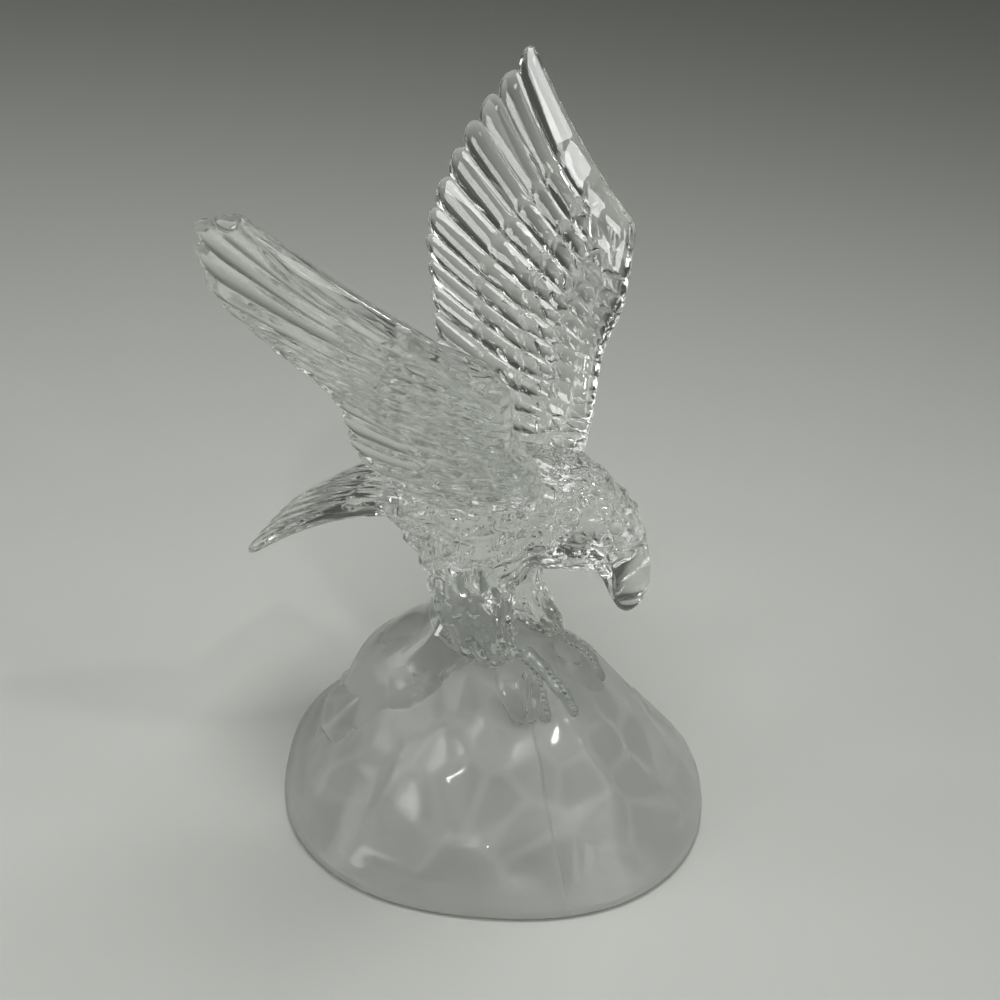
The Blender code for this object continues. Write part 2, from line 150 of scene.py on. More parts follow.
def scatter(first: np.ndarray, second: np.ndarray) -> np.ndarray:
    """An even stray from 0 to 1 that depends only on two whole numbers."""
    return (np.sin(first * SPREAD[0] + second * SPREAD[1]) * SPREAD[2]) % 1


def turns_of(sides: int) -> np.ndarray:
    """Even angles round a ring of points."""
    return 2 * np.pi * np.arange(sides) / sides


def off_turn(turns: np.ndarray, turn: float) -> np.ndarray:
    """How far angles lie from one angle, from minus to plus half a circle."""
    return np.angle(np.exp(1j * (turns - turn)))


def bulged(value: np.ndarray, power: float) -> np.ndarray:
    """A cosine or sine raised to a power with its sign kept, which makes a squarer oval."""
    return np.copysign(np.abs(value) ** power, value)


def hump(away: np.ndarray, reach: float) -> np.ndarray:
    """1 where away is 0, and a soft fall to nearly 0 at twice the reach."""
    return np.exp(-((away / reach) ** 2))


def ways_of(turn: np.ndarray, up: np.ndarray) -> np.ndarray:
    """The unit directions at angles round the vertical and above the level."""
    return np.stack([np.cos(turn) * np.cos(up), np.sin(turn) * np.cos(up), np.sin(up)], -1)


def level_rings(line: np.ndarray, turn: np.ndarray, height: np.ndarray | float = 0.0, droop: float = 0.0) -> np.ndarray:
    """Level oval rings of points round a line.

    Args:
        line: a row a ring, of its centre (x, y, z) and half its width and depth.
        turn: the angles of a ring's points.
        height: the relief at each point.
        droop: how far the relief hangs down, as a share of its height.

    Returns:
        The points, as (rings, points a ring, 3).
    """
    x, y, z, half_x, half_y = (column[:, None] for column in line.T)
    sides = x + (half_x + height) * np.cos(turn), y + (half_y + height) * np.sin(turn), z - droop * height
    return np.stack(np.broadcast_arrays(*sides), -1)


@dataclass(frozen=True)
class Tufts:
    """Rows of overlapping pointed feathers laid brick-wise, each a bit its own way."""

    scallop: float  # depth of the tips, as a share of a row
    rise: float  # height of the tips
    swell: float  # height of each feather's middle over its sides
    sink: float  # how deep all of them are set into the body
    point: float = 1.4  # form of the tips: 1 is a straight point, and more is rounder
    swoop: float = 1.3  # how late along its length a feather rises
    end_stray: float = 0.35  # how far the ends stray, as a share of a row
    rise_stray: float = 0.35  # how much less the lowest feather rises than the highest one
    swell_stray: float = 0.3  # the same for the swell
    shortest: float = 0.05  # least length of a feather, in rows

    def ends(self, base: np.ndarray, across: np.ndarray) -> tuple[np.ndarray, np.ndarray, np.ndarray]:
        """Where the feathers of a row end.

        Args:
            base: the row's whole number.
            across: the coordinate across the rows, which grows by one a feather.

        Returns:
            The row coordinate of the end, the place across the feather, and its own stray from 0 to 1.
        """
        shifted = across + 0.5 * (base % 2)
        stray = scatter(np.floor(shifted), base)
        inside = shifted % 1
        end = base + 1 + self.end_stray * (stray - 0.5) - self.scallop * rounding(inside, self.point)
        return end, inside, stray

    def height(self, row: np.ndarray, across: np.ndarray) -> np.ndarray:
        """The height of the feathers.

        Args:
            row: the row coordinate, which grows by one a row towards the feathers' tips.
            across: the coordinate across the rows, which grows by one a feather.

        Returns:
            One height a point.
        """
        base = np.floor(row)
        ends = [self.ends(base + step, across) for step in (-2, -1, 0, 1, 2)]
        low = ends[0][0]
        high, inside, stray = ends[1]
        for (end_before, _, _), (end, place, own) in zip(ends[1:], ends[2:]):
            beyond = row >= end_before
            low = np.where(beyond, end_before, low)
            high = np.where(beyond, end, high)
            inside = np.where(beyond, place, inside)
            stray = np.where(beyond, own, stray)
        t = np.clip((row - low) / np.maximum(high - low, self.shortest), 0.0, 1.0)
        tuft = t**self.swoop * (1 - smooth(LAP, 1.0, t)) * (1 - self.rise_stray + self.rise_stray * stray)
        ridge = crown(inside) * (1 - self.swell_stray + self.swell_stray * stray)
        return self.rise * tuft + self.swell * ridge - self.sink


def placed(name: str, data: bpy.types.ID) -> bpy.types.Object:
    """A new object in the scene.

    Args:
        name: the object's name.
        data: its mesh, light or camera.

    Returns:
        The object, at the origin.
    """
    thing = bpy.data.objects.new(name, data)
    bpy.context.scene.collection.objects.link(thing)
    return thing


def finished_mesh(thing: bpy.types.Object) -> bpy.types.Mesh:
    """The plain mesh that an object's modifiers give.

    Args:
        thing: the object, with its modifiers set.

    Returns:
        A new mesh.
    """
    bpy.context.view_layer.update()
    graph = bpy.context.evaluated_depsgraph_get()
    return bpy.data.meshes.new_from_object(thing.evaluated_get(graph))


def body_of(name: str, bm: bmesh.types.BMesh, skin: Skin) -> bpy.types.Object:
    """The object of a closed bmesh.

    Args:
        name: the object's name.
        bm: the bmesh, which is freed.
        skin: the surface that its faces get.

    Returns:
        The object, with faces pointing out and shaded smooth.
    """
    bmesh.ops.recalc_face_normals(bm, faces=bm.faces)
    for face in bm.faces:
        face.smooth = True
        face.material_index = skin.value
    mesh = bpy.data.meshes.new(name)
    bm.to_mesh(mesh)
    bm.free()
    LOG.info("%s: %d faces", name, len(mesh.polygons))
    return placed(name, mesh)


def meshed(
    name: str, points: np.ndarray, faces: list[list[int]], skin: Skin, haze: np.ndarray | None = None
) -> bpy.types.Object:
    """The object of a closed surface given by points and faces.

    Args:
        name: the object's name.
        points: the points, as (..., 3).
        faces: the numbers of each face's points.
        skin: the surface that its faces get.
        haze: how hazy the surface is at each point, from 0 to 1, or None where it's clear.

    Returns:
        The object, with faces pointing out and shaded smooth.
    """
    mesh = bpy.data.meshes.new(name)
    mesh.from_pydata(points.reshape(-1, 3).tolist(), [], faces)
    values = np.zeros(points.size // 3) if haze is None else haze.reshape(-1)
    mesh.attributes.new(HAZE, "FLOAT", "POINT").data.foreach_set("value", values.astype(np.float32))
    bm = bmesh.new()
    bm.from_mesh(mesh)
    bpy.data.meshes.remove(mesh)
    return body_of(name, bm, skin)


def closed_body(name: str, rings: np.ndarray, skin: Skin, haze: np.ndarray | None = None) -> bpy.types.Object:
    """A closed body through rings of points, capped by strips across its first and last ring.

    Args:
        name: the object's name.
        rings: the points, as (rings, points a ring, 3), with an even number of points a ring.
        skin: the surface that its faces get.
        haze: how hazy the surface is at each point, from 0 to 1, or None where it's clear.

    Returns:
        The object, with faces pointing out and shaded smooth.
    """
    count, sides = rings.shape[:2]
    if sides % 2:
        raise ValueError(f"{name} has an odd number of points a ring, {sides}")
    index = np.arange(count * sides).reshape(count, sides)
    low, high = index[:-1], index[1:]
    faces = np.stack([low, np.roll(low, -1, 1), np.roll(high, -1, 1), high], -1).reshape(-1, 4).tolist()
    half = sides // 2
    for ring in (index[0].tolist(), index[-1].tolist()):
        faces.append([ring[0], ring[1], ring[-1]])
        faces += [[ring[k], ring[k + 1], ring[sides - k - 1], ring[sides - k]] for k in range(1, half - 1)]
        faces.append([ring[half - 1], ring[half], ring[half + 1]])
    return meshed(name, rings, faces, skin, haze)


@dataclass(frozen=True)
class FeatherRow:
    """A row of feathers on a face of a blade, in shares of the feathers' length and of the eagle's height."""

    edge: float  # level at which the row ends
    count: int  # feathers along the blade
    scallop: float  # depth of their rounded ends
    lift: float  # height of the row over the flight feathers
    step: float  # further rise towards its ends
    crown: float  # rise of each feather between its grooves
    rows: int  # rows of points
    phase: float = 0.0  # share of a feather that the row is shifted by
    shorten: float = 0.0  # how much nearer the root it ends at the blade's outer end, as a share


@dataclass
class Blade:
    """A blade of feathers laid side by side, such as a wing or the tail.

    A place runs along the blade from 0 at the body to 1 at its outer end, and a level runs along a feather from 0
    at its root to 1 at its tip.
    """

    name: str
    side: Side
    feathers: int
    front: tuple[FeatherRow, ...]
    back: tuple[FeatherRow, ...]
    arch: float  # how far the feathers bow up half-way along them
    lead: float = 0.018  # how far the front edge is rolled round the root line, as a level
    step_run: float = 0.010  # length that a row takes to fall to the next one
    tip_starts: float = 0.90  # share of a flight feather's row from which it thins
    tip_thin: float = 0.22  # thickness left at its tip
    front_share: float = 1.0  # how much of the front's relief it has
    places: tuple[float, ...] = (0.012, 0.06, 0.15, 0.28, 0.42, 0.58, 0.72, 0.85, 0.94, 0.988)

    FIRST_ROW = 0.6  # how far ahead of the root the first row starts, as a share of the lead
    SHORTEN_FROM = 0.45  # place from which rows are shortened
    TO_ENDS = 1.5  # how much closer together the points are set towards the flight feathers' ends
    STRAY = 0.5  # how much the heights of single feathers differ
    SWELL_FROM = 0.12  # level from which feathers have all of their swell
    STEP_POWER = 1.4  # how late along its length a row rises
    END_FALL, END_FALLS_FROM = 0.6, 0.86  # how much of its rise a row loses at its end, and from where
    OUTER_THIN = 0.8  # thickness left at the outermost feather's tip
    OUTER_ROUND = 0.45  # how much of the ends' rounding the outermost feather lacks
    ROLL, ROLL_LEAST = 4.0, 0.05  # the rolled edge's length in leads, and the least share of it
    TRAIL = 0.004  # how far past its last points the blade closes
    NUDGE = 1e-3  # the step in place that shows which way the blade runs

    def root(self, place: np.ndarray) -> np.ndarray:
        """The blade's root line."""
        raise NotImplementedError

    def tip(self, place: np.ndarray) -> np.ndarray:
        """The line of its feathers' tips."""
        raise NotImplementedError

    def half(self, place: np.ndarray, level: np.ndarray) -> np.ndarray:
        """Half the blade's thickness without its relief."""
        raise NotImplementedError

    def sweep(self, place: np.ndarray) -> np.ndarray:
        """How far a feather bends towards the root's start, half-way along it."""
        return np.zeros_like(place)

    def relief_share(self, place: np.ndarray) -> np.ndarray:
        """How much of the relief is left at a place."""
        return np.ones_like(place)

    def end_share(self, place: np.ndarray) -> np.ndarray:
        """How far a place belongs to the thick outermost feather."""
        return np.zeros_like(place)

    def tip_share(self, place: np.ndarray) -> np.ndarray:
        """How much of the rounding is left at the feathers' ends."""
        return 1 - self.OUTER_ROUND * self.end_share(place)

    def columns(self) -> np.ndarray:
        """The places of all columns of points, from the body outwards."""
        return np.array([(k + across) / self.feathers for k in range(self.feathers) for across in self.places])

    def face(self, place: np.ndarray, rows: Sequence[FeatherRow], share: float) -> tuple[np.ndarray, np.ndarray]:
        """The points of one face, measured from the blade's middle.

        Args:
            place: the places of the columns of points.
            rows: the face's rows of feathers, from the root to the tips.
            share: how much of their relief the face has.

        Returns:
            The levels and the heights of its points, both as (rows, columns).
        """
        levels, heights = [], []
        start = np.full_like(place, -self.lead * self.FIRST_ROW)
        relief = self.relief_share(place) * share
        for number, row in enumerate(rows):
            flight = number == len(rows) - 1
            feather = row.count * place + row.phase
            across = feather % 1
            stray = self.STRAY * (scatter(np.floor(feather), np.full_like(place, number)) - 0.5)
            edge = row.edge * (1 - row.shorten * smooth(self.SHORTEN_FROM, 1.0, place))
            end = edge - row.scallop * rounding(across) * self.tip_share(place)
            for t in np.linspace(0.0, 1.0, row.rows):
                t = 1 - (1 - t) ** self.TO_ENDS if flight else t
                level = start + (end - start) * t
                swell = crown(across) * (1 + stray) * smooth(0.0, self.SWELL_FROM, level)
                step = row.step * t**self.STEP_POWER * (1 + stray)
                fall = self.END_FALL * smooth(self.END_FALLS_FROM, 1.0, t) * (not flight)
                rise = (row.lift + step) * (1 - fall) + row.crown * swell
                body = self.half(place, level)
                if flight:
                    ends = np.clip((t - self.tip_starts) / (1 - self.tip_starts), 0.0, 1.0)
                    thin = self.tip_thin + (self.OUTER_THIN - self.tip_thin) * self.end_share(place)
                    left = thin + (1 - thin) * math.sqrt(1 - ends * ends)
                    body, rise = body * left, rise * left
                roll = np.clip((level + self.lead) / (self.ROLL * self.lead), self.ROLL_LEAST, 1.0)
                heights.append((body + rise * relief) * np.sqrt(1 - (1 - roll) ** 2))
                levels.append(level)
            start = end + self.step_run
        return np.array(levels), np.array(heights)

    def build(self) -> bpy.types.Object:
        """Makes the blade.

        Returns:
            Its closed body.
        """
        place = self.columns()
        start, end = self.root(place), self.tip(place)
        spread_root = self.root(place + self.NUDGE) - self.root(place - self.NUDGE)
        spread_tip = self.tip(place + self.NUDGE) - self.tip(place - self.NUDGE)
        sideways = spread_tip / np.linalg.norm(spread_tip, axis=1, keepdims=True)
        shells = []
        for rows, sign, share in ((self.front, 1.0, self.front_share), (self.back, -1.0, 1.0)):
            level, height = self.face(place, rows, share)
            level = level[..., None]
            middle = start + (end - start) * level
            bow = np.zeros_like(middle)
            bow[..., 2] = (4 * self.arch * level * (1 - level))[..., 0]
            bow -= sideways * self.sweep(place)[:, None] * np.maximum(4 * level * (1 - level), 0.0)
            normal = np.cross(spread_root * (1 - level) + spread_tip * level, (end - start)[None])
            normal /= np.linalg.norm(normal, axis=-1, keepdims=True)
            shells.append(middle + bow + sign * normal * height[..., None])
        lead = (start - (end - start) * self.lead)[None]
        trail = (shells[0][-1] + shells[1][-1])[None] / 2 + (end - start) * self.TRAIL
        ring = np.concatenate([lead, shells[0], trail, shells[1][::-1]]).transpose(1, 0, 2)
        ring[..., 0] *= self.side.value
        return closed_body(self.name, in_frame(ring), Skin.CLEAR)


WING_FRONT = (
    FeatherRow(0.095, 17, 0.030, 0.0030, 0.0040, 0.0030, 8),
    FeatherRow(0.215, 16, 0.040, 0.0030, 0.0056, 0.0042, 11, 0.4, 0.05),
    FeatherRow(0.420, 16, 0.046, 0.0026, 0.0066, 0.0046, 15, 0.9, 0.15),
    FeatherRow(0.680, 16, 0.046, 0.0012, 0.0066, 0.0046, 16, 0.0, 0.20),
    FeatherRow(0.996, 16, 0.036, 0.0, 0.0, 0.0038, 19),
)
WING_BACK = (
    FeatherRow(0.110, 18, 0.040, 0.0018, 0.0016, 0.0008, 8, 0.2),
    FeatherRow(0.210, 17, 0.060, 0.0022, 0.0040, 0.0030, 10, 0.7),
    FeatherRow(0.360, 16, 0.090, 0.0024, 0.0060, 0.0070, 13, 0.5, 0.25),
    FeatherRow(0.580, 16, 0.100, 0.0014, 0.0062, 0.0084, 17, 0.0, 0.40),
    FeatherRow(0.996, 16, 0.036, 0.0, 0.0, 0.0080, 21),
)


@dataclass
class Wing(Blade):
    """A raised wing: rolled front edge, rows of coverts and scalloped flight feathers."""

    feathers: int = 16
    front: tuple[FeatherRow, ...] = WING_FRONT
    back: tuple[FeatherRow, ...] = WING_BACK
    arch: float = -0.016
    tips: tuple[tuple[float, float, float], ...] = ()
    ahead: float = 0.0  # how far its front edge lies ahead of the arm's line
    hand: float = 0.015  # half the thickness of the outermost feather

    ARM = (
        (0.050, -0.082, 0.320),
        (0.123, -0.091, 0.425),
        (0.221, -0.072, 0.538),
        (0.278, -0.087, 0.625),
        (0.348, -0.076, 0.689),
        (0.408, -0.057, 0.728),
    )
    TIP_FEATHERS = (1, 4, 7, 10, 13, 15.25, 16)  # the feathers that the tips were measured at
    INNER_STEP = 3  # feathers between the first two of them
    HAND_SHARE, HAND_POWER = 0.35, 10  # how much of the arm belongs to its last feathers, and how strongly
    HAND_CLOSE = 0.6  # how closely the outermost feather's outer side is drawn in
    EDGE, MIDDLE, TIP = 0.0255, 0.0165, 0.0095  # half the thickness at the arm, half-way and at the tips
    TO_MIDDLE, TO_TIP = (0.0, 0.3), (0.4, 1.0)  # levels over which it changes
    HAND_FROM, HAND_OVER = (0.1, 0.3), (0.0, 0.7)  # levels and share over which the outermost feather thickens
    HAND_THIN, HAND_THINS = 0.25, (0.7, 1.0)  # how much it thins to its tip, and over which levels
    SIDE_FROM, SIDE_LEAST = 0.6, 0.25  # where its outer side rounds off, and the thickness left there
    PLAIN, PLAIN_OVER = 0.8, (0.2, 0.9)  # how much of the relief it lacks, and the share over which it goes
    END_OVER = (0.0, 0.6)  # share over which the other feathers' rounding turns into its own
    # how far the two outermost feathers bend back, and the places over which that comes and goes
    SWEEP, SWEEP_OVER, SWEEP_ENDS = 0.022, (0.78, 0.93), (0.95, 1.0)
    OUTER_PLACES = (0.92, 0.965, 0.99, 1.0)  # columns of points on its outer side

    def outermost(self, place: np.ndarray) -> np.ndarray:
        """The share of the outermost feather at a place: 0 at its inner side, 1 at its outer side."""
        return place * self.feathers - (self.feathers - 1)

    def root(self, place: np.ndarray) -> np.ndarray:
        """The arm's line, from the shoulder to the wrist."""
        reach = (1 - self.HAND_SHARE) * place + self.HAND_SHARE * np.maximum(place, 0.0) ** self.HAND_POWER
        return along(self.ARM, reach * (len(self.ARM) - 1)) - np.array((0.0, self.ahead, 0.0))

    def tip(self, place: np.ndarray) -> np.ndarray:
        """The line of the feathers' tips, with the outermost feather's outer side closed up.

        Args:
            place: places along the wing.

        Returns:
            One point a place.
        """
        number = place * self.feathers + 0.5
        past = np.maximum(number - self.feathers, 0.0) * self.HAND_CLOSE
        before = np.minimum(number - 1, 0.0) / self.INNER_STEP
        return along(self.tips, np.interp(number, self.TIP_FEATHERS, range(len(self.tips))) + past + before)

    def half(self, place: np.ndarray, level: np.ndarray) -> np.ndarray:
        """Half the wing's thickness: a rolled edge, thin feathers and a thick outermost one.

        Args:
            place: places along the wing.
            level: levels along the feathers.

        Returns:
            One half thickness a point, without relief.
        """
        body = self.EDGE + (self.MIDDLE - self.EDGE) * smooth(*self.TO_MIDDLE, level)
        body = body + (self.TIP - self.MIDDLE) * smooth(*self.TO_TIP, level)
        last = self.outermost(place)
        blade = self.hand * (1 - self.HAND_THIN * smooth(*self.HAND_THINS, level))
        body = body + (blade - body) * smooth(*self.HAND_OVER, last) * smooth(*self.HAND_FROM, level)
        outer = np.clip((last - self.SIDE_FROM) / (1 - self.SIDE_FROM), 0.0, 1.0)
        return body * (self.SIDE_LEAST + (1 - self.SIDE_LEAST) * np.sqrt(1 - outer**2))

    def relief_share(self, place: np.ndarray) -> np.ndarray:
        """All of the relief but on the outermost feather, which is plain."""
        return 1 - self.PLAIN * smooth(*self.PLAIN_OVER, self.outermost(place))

    def end_share(self, place: np.ndarray) -> np.ndarray:
        """1 on the outermost feather's outer part and 0 on the others."""
        return smooth(*self.END_OVER, self.outermost(place))

    def sweep(self, place: np.ndarray) -> np.ndarray:
        """The two outermost feathers bend back, and the wing's outer edge doesn't."""
        return self.SWEEP * smooth(*self.SWEEP_OVER, place) * (1 - smooth(*self.SWEEP_ENDS, place))

    def columns(self) -> np.ndarray:
        """The places of all columns, with more of them on the outermost feather's outer side.

        Returns:
            The places, from the body outwards.
        """
        inner = super().columns()[:-2]
        outer = [(self.feathers - 1 + across) / self.feathers for across in self.OUTER_PLACES]
        return np.concatenate([inner, outer])


LEFT_TIPS = (
    (0.062, 0.100, 0.284),
    (0.203, 0.235, 0.422),
    (0.268, 0.294, 0.567),
    (0.368, 0.353, 0.688),
    (0.528, 0.347, 0.831),
    (0.592, 0.287, 0.944),
    (0.625, 0.264, 0.982),
)
RIGHT_TIPS = (
    (0.062, 0.100, 0.284),
    (0.200, 0.217, 0.421),
    (0.259, 0.243, 0.560),
    (0.361, 0.309, 0.683),
    (0.514, 0.343, 0.834),
    (0.598, 0.308, 0.962),
    (0.614, 0.242, 0.975),
)


TAIL_FRONT = (
    FeatherRow(0.200, 13, 0.050, 0.0, 0.0050, 0.0030, 7, 0.5),
    FeatherRow(0.420, 11, 0.070, 0.0, 0.0060, 0.0040, 9),
    FeatherRow(0.996, 9, 0.080, 0.0, 0.0, 0.0060, 22),
)
TAIL_BACK = (
    FeatherRow(0.150, 11, 0.050, 0.0, 0.0040, 0.0030, 7, 0.5),
    FeatherRow(0.320, 9, 0.060, 0.0, 0.0040, 0.0030, 9),
    FeatherRow(0.996, 9, 0.080, 0.0, 0.0, 0.0045, 22),
)


@dataclass
class Tail(Blade):
    """The spread tail: a thick fan of straight feathers."""

    feathers: int = 9
    front: tuple[FeatherRow, ...] = TAIL_FRONT
    back: tuple[FeatherRow, ...] = TAIL_BACK
    arch: float = 0.034

    ROOTS = ((-0.071, 0.165, 0.264), (0.000, 0.153, 0.276), (0.071, 0.165, 0.264))
    TIPS = ((-0.202, 0.455, 0.157), (0.000, 0.468, 0.158), (0.192, 0.440, 0.154))
    ROOT_HALF, TIP_HALF = 0.019, 0.010  # half the thickness at the root and at the tips
    SIDE_LEAST, SIDE_POWER = 0.3, 8  # thickness left at the sides, and how late it falls to that

    def root(self, place: np.ndarray) -> np.ndarray:
        """The fan's root, across the rump."""
        return along(self.ROOTS, 2 * place)

    def tip(self, place: np.ndarray) -> np.ndarray:
        """The fan's end."""
        return along(self.TIPS, 2 * place)

    def half(self, place: np.ndarray, level: np.ndarray) -> np.ndarray:
        """Half the fan's thickness: it thins to its end and at its sides.

        Args:
            place: places along the fan.
            level: levels along the feathers.

        Returns:
            One half thickness a point, without relief.
        """
        flat = np.sqrt(np.clip(1 - np.abs(2 * place - 1) ** self.SIDE_POWER, 0.0, 1.0))
        edge = self.SIDE_LEAST + (1 - self.SIDE_LEAST) * flat
        return (self.ROOT_HALF + (self.TIP_HALF - self.ROOT_HALF) * level) * edge


@dataclass
class Trunk:
    """Rump, back, neck, bowed head and hooked beak in one run, feathered up to the bare beak."""

    rings: int = 156
    sides: int = 120
    square: float = 2.2  # how square the sections are, where 2 is an oval
    feathers: int = 24
    beak_starts: float = 10.2

    # the back's line (y, z), the belly's line (y, z) and half the width
    STATIONS = (
        (0.259, 0.265, 0.235, 0.218, 0.035),
        (0.212, 0.290, 0.195, 0.196, 0.065),
        (0.141, 0.337, 0.160, 0.155, 0.088),
        (0.059, 0.382, 0.118, 0.108, 0.104),
        (-0.024, 0.406, 0.024, 0.106, 0.115),
        (-0.080, 0.409, -0.041, 0.147, 0.115),
        (-0.127, 0.405, -0.069, 0.190, 0.107),
        (-0.167, 0.388, -0.116, 0.197, 0.098),
        (-0.203, 0.359, -0.152, 0.204, 0.089),
        (-0.233, 0.331, -0.171, 0.211, 0.078),
        (-0.257, 0.297, -0.185, 0.207, 0.065),
        (-0.275, 0.251, -0.197, 0.193, 0.050),
        (-0.283, 0.212, -0.206, 0.174, 0.041),
        (-0.282, 0.176, -0.218, 0.153, 0.032),
        (-0.271, 0.150, -0.232, 0.135, 0.022),
        (-0.255, 0.131, -0.247, 0.128, 0.007),
    )
    # the face's forms, on both sides: centre, radius, rise
    FORMS = (
        ((0.046, -0.222, 0.340), 0.014, 0.0050),
        ((0.060, -0.208, 0.336), 0.014, 0.0055),
        ((0.072, -0.188, 0.330), 0.015, 0.0040),
        ((0.056, -0.220, 0.318), 0.013, -0.0050),
        ((0.070, -0.210, 0.300), 0.017, -0.0035),
        ((0.045, -0.250, 0.278), 0.014, 0.0035),
        ((0.072, -0.205, 0.276), 0.013, 0.0030),
    )
    # grooves on both sides: the gape, the cere's edge and the line round the beak's tip
    GROOVES = (
        (
            (0.080, -0.192, 0.262),
            (0.068, -0.214, 0.250),
            (0.056, -0.226, 0.236),
            (0.044, -0.226, 0.205),
            (0.030, -0.224, 0.165),
        ),
        (
            (0.074, -0.204, 0.292),
            (0.064, -0.228, 0.292),
            (0.044, -0.252, 0.288),
            (0.012, -0.264, 0.283),
            (0.0, -0.266, 0.282),
        ),
        ((0.034, -0.232, 0.158), (0.030, -0.256, 0.164), (0.019, -0.276, 0.170), (0.0, -0.284, 0.172)),
    )
    GROOVE_RADIUS, GROOVE_DEPTH, GROOVE_POINTS = 0.0040, 0.0062, 40
    # the groove round the eye: its centre, its half axes along the face and across it, and its corners
    EYE_RING, EYE_CORNERS = ((0.050, -0.225, 0.325), (0.004, -0.012, -0.014), (-0.010, -0.003, 0.011)), 13
    CALM, CALM_EDGE = 0.030, 4  # how far round the eye the face is free of tufts, and how sharply that ends
    FINE = 900  # places that the run is measured at

    BODY_TUFTS = Tufts(0.8, 0.0155, 0.0112, 0.0090)
    HEAD_TUFTS = Tufts(0.7, 0.0062, 0.0058, 0.0050)
    HEAD_ROWS, HEAD_FEATHERS = 0.78, 0.5  # how many of them the head has for each one of the body's
    HEAD_OVER, HEAD_CALM = (4.5, 7.5), 0.88  # stations over which they change, and how far the body's go
    ROW, RUMP_ROW, ROW_OVER = 0.048, 0.028, (3.0, 7.0)  # length of a row, what the rump's have more, and where
    BEAK_RUN = 0.5  # stations over which the feathers end at the beak
    SWAY, SWAYS = 0.2, 3  # how far rows run unevenly round the body, in rows, and how often
    SHIFT, SHIFTS = 0.18, 2.3  # how far feathers are shifted from row to row, in feathers, and how often

    def build(self) -> bpy.types.Object:
        """Makes the trunk.

        Returns:
            Its closed body.
        """
        last = len(self.STATIONS) - 1
        fine = along(self.STATIONS, np.linspace(0, last, self.FINE))
        spine = (fine[:, :2] + fine[:, 2:4]) / 2
        outer = np.linalg.norm(np.diff(fine[:, :2], axis=0), axis=1) + np.linalg.norm(np.diff(spine, axis=0), axis=1)
        length = np.concatenate([[0.0], np.cumsum(outer / 2)])
        place = np.interp(np.linspace(0, length[-1], self.rings), length, np.linspace(0, last, self.FINE))
        station = along(self.STATIONS, place)
        back, belly = station[:, :2], station[:, 2:4]
        middle, arm = (back + belly) / 2, (back - belly) / 2
        turn = turns_of(self.sides)
        out = np.empty((self.rings, self.sides, 3))
        out[..., 0] = station[:, 4:5] * bulged(np.sin(turn), 2 / self.square)
        out[..., 1:] = arm[:, None] * bulged(np.cos(turn), 2 / self.square)[None, :, None]
        centre = np.zeros((self.rings, 1, 3))
        centre[..., 1:] = middle[:, None]
        outward = out / np.linalg.norm(out, axis=-1, keepdims=True)
        points = centre + out
        run = np.interp(place, np.linspace(0, last, self.FINE), length)
        height = self.plumage(place, run, turn) * self.calm(points) + self.face(points)
        return closed_body("trunk", in_frame(points + outward * height[..., None]), Skin.CLEAR)

    def plumage(self, place: np.ndarray, run: np.ndarray, turn: np.ndarray) -> np.ndarray:
        """The height of the tufted feathers, which point from the beak to the tail.

        Args:
            place: the rings' places along the stations.
            run: the rings' lengths along the trunk.
            turn: the angles of a ring's points.

        Returns:
            One height a point, as (rings, points a ring).
        """
        size = self.ROW + self.RUMP_ROW * (1 - smooth(*self.ROW_OVER, place))
        row = np.concatenate([[0.0], np.cumsum(np.diff(run) / size[1:])])
        row = (row[-1] - row)[:, None] + self.SWAY * np.sin(self.SWAYS * turn)[None]
        across = self.feathers * (turn / (2 * np.pi))[None] + self.SHIFT * np.sin(self.SHIFTS * row)
        head = smooth(*self.HEAD_OVER, place)[:, None]
        body = self.BODY_TUFTS.height(row, across) * (1 - self.HEAD_CALM * head)
        crest = self.HEAD_TUFTS.height(self.HEAD_ROWS * row, self.HEAD_FEATHERS * across) * head
        return (body + crest) * (1 - smooth(self.beak_starts - self.BEAK_RUN, self.beak_starts, place))[:, None]

    @staticmethod
    def on_left(points: np.ndarray) -> np.ndarray:
        """The points, mirrored to the left side."""
        return np.abs(points) * np.array((1.0, 0.0, 0.0)) + points * np.array((0.0, 1.0, 1.0))

    def calm(self, points: np.ndarray) -> np.ndarray:
        """How much of the tufts is left round the eye: none on it, and all a little way off."""
        away = np.linalg.norm(self.on_left(points) - np.array(self.EYE_RING[0]), axis=-1)
        return 1 - np.exp(-((away / self.CALM) ** self.CALM_EDGE))

    def face(self, points: np.ndarray) -> np.ndarray:
        """The height of brow, eye socket, cheek, cere and grooves.

        Args:
            points: the trunk's points without relief, as (rings, points a ring, 3).

        Returns:
            One height a point.
        """
        mirrored = self.on_left(points)
        height = np.zeros(points.shape[:2])
        for centre, radius, lift in self.FORMS:
            height += lift * hump(np.linalg.norm(mirrored - np.array(centre), axis=-1), radius)
        centre, ahead, upward = np.array(self.EYE_RING)
        turns = np.linspace(0.0, 2 * math.pi, self.EYE_CORNERS)[:, None]
        ring = centre + np.cos(turns) * ahead + np.sin(turns) * upward
        for corners in (*self.GROOVES, ring):
            groove = along(corners, np.linspace(0, len(corners) - 1, self.GROOVE_POINTS))
            near = np.min(np.linalg.norm(mirrored[:, :, None] - groove[None, None], axis=-1), axis=-1)
            height -= self.GROOVE_DEPTH * hump(near, self.GROOVE_RADIUS)
        return height


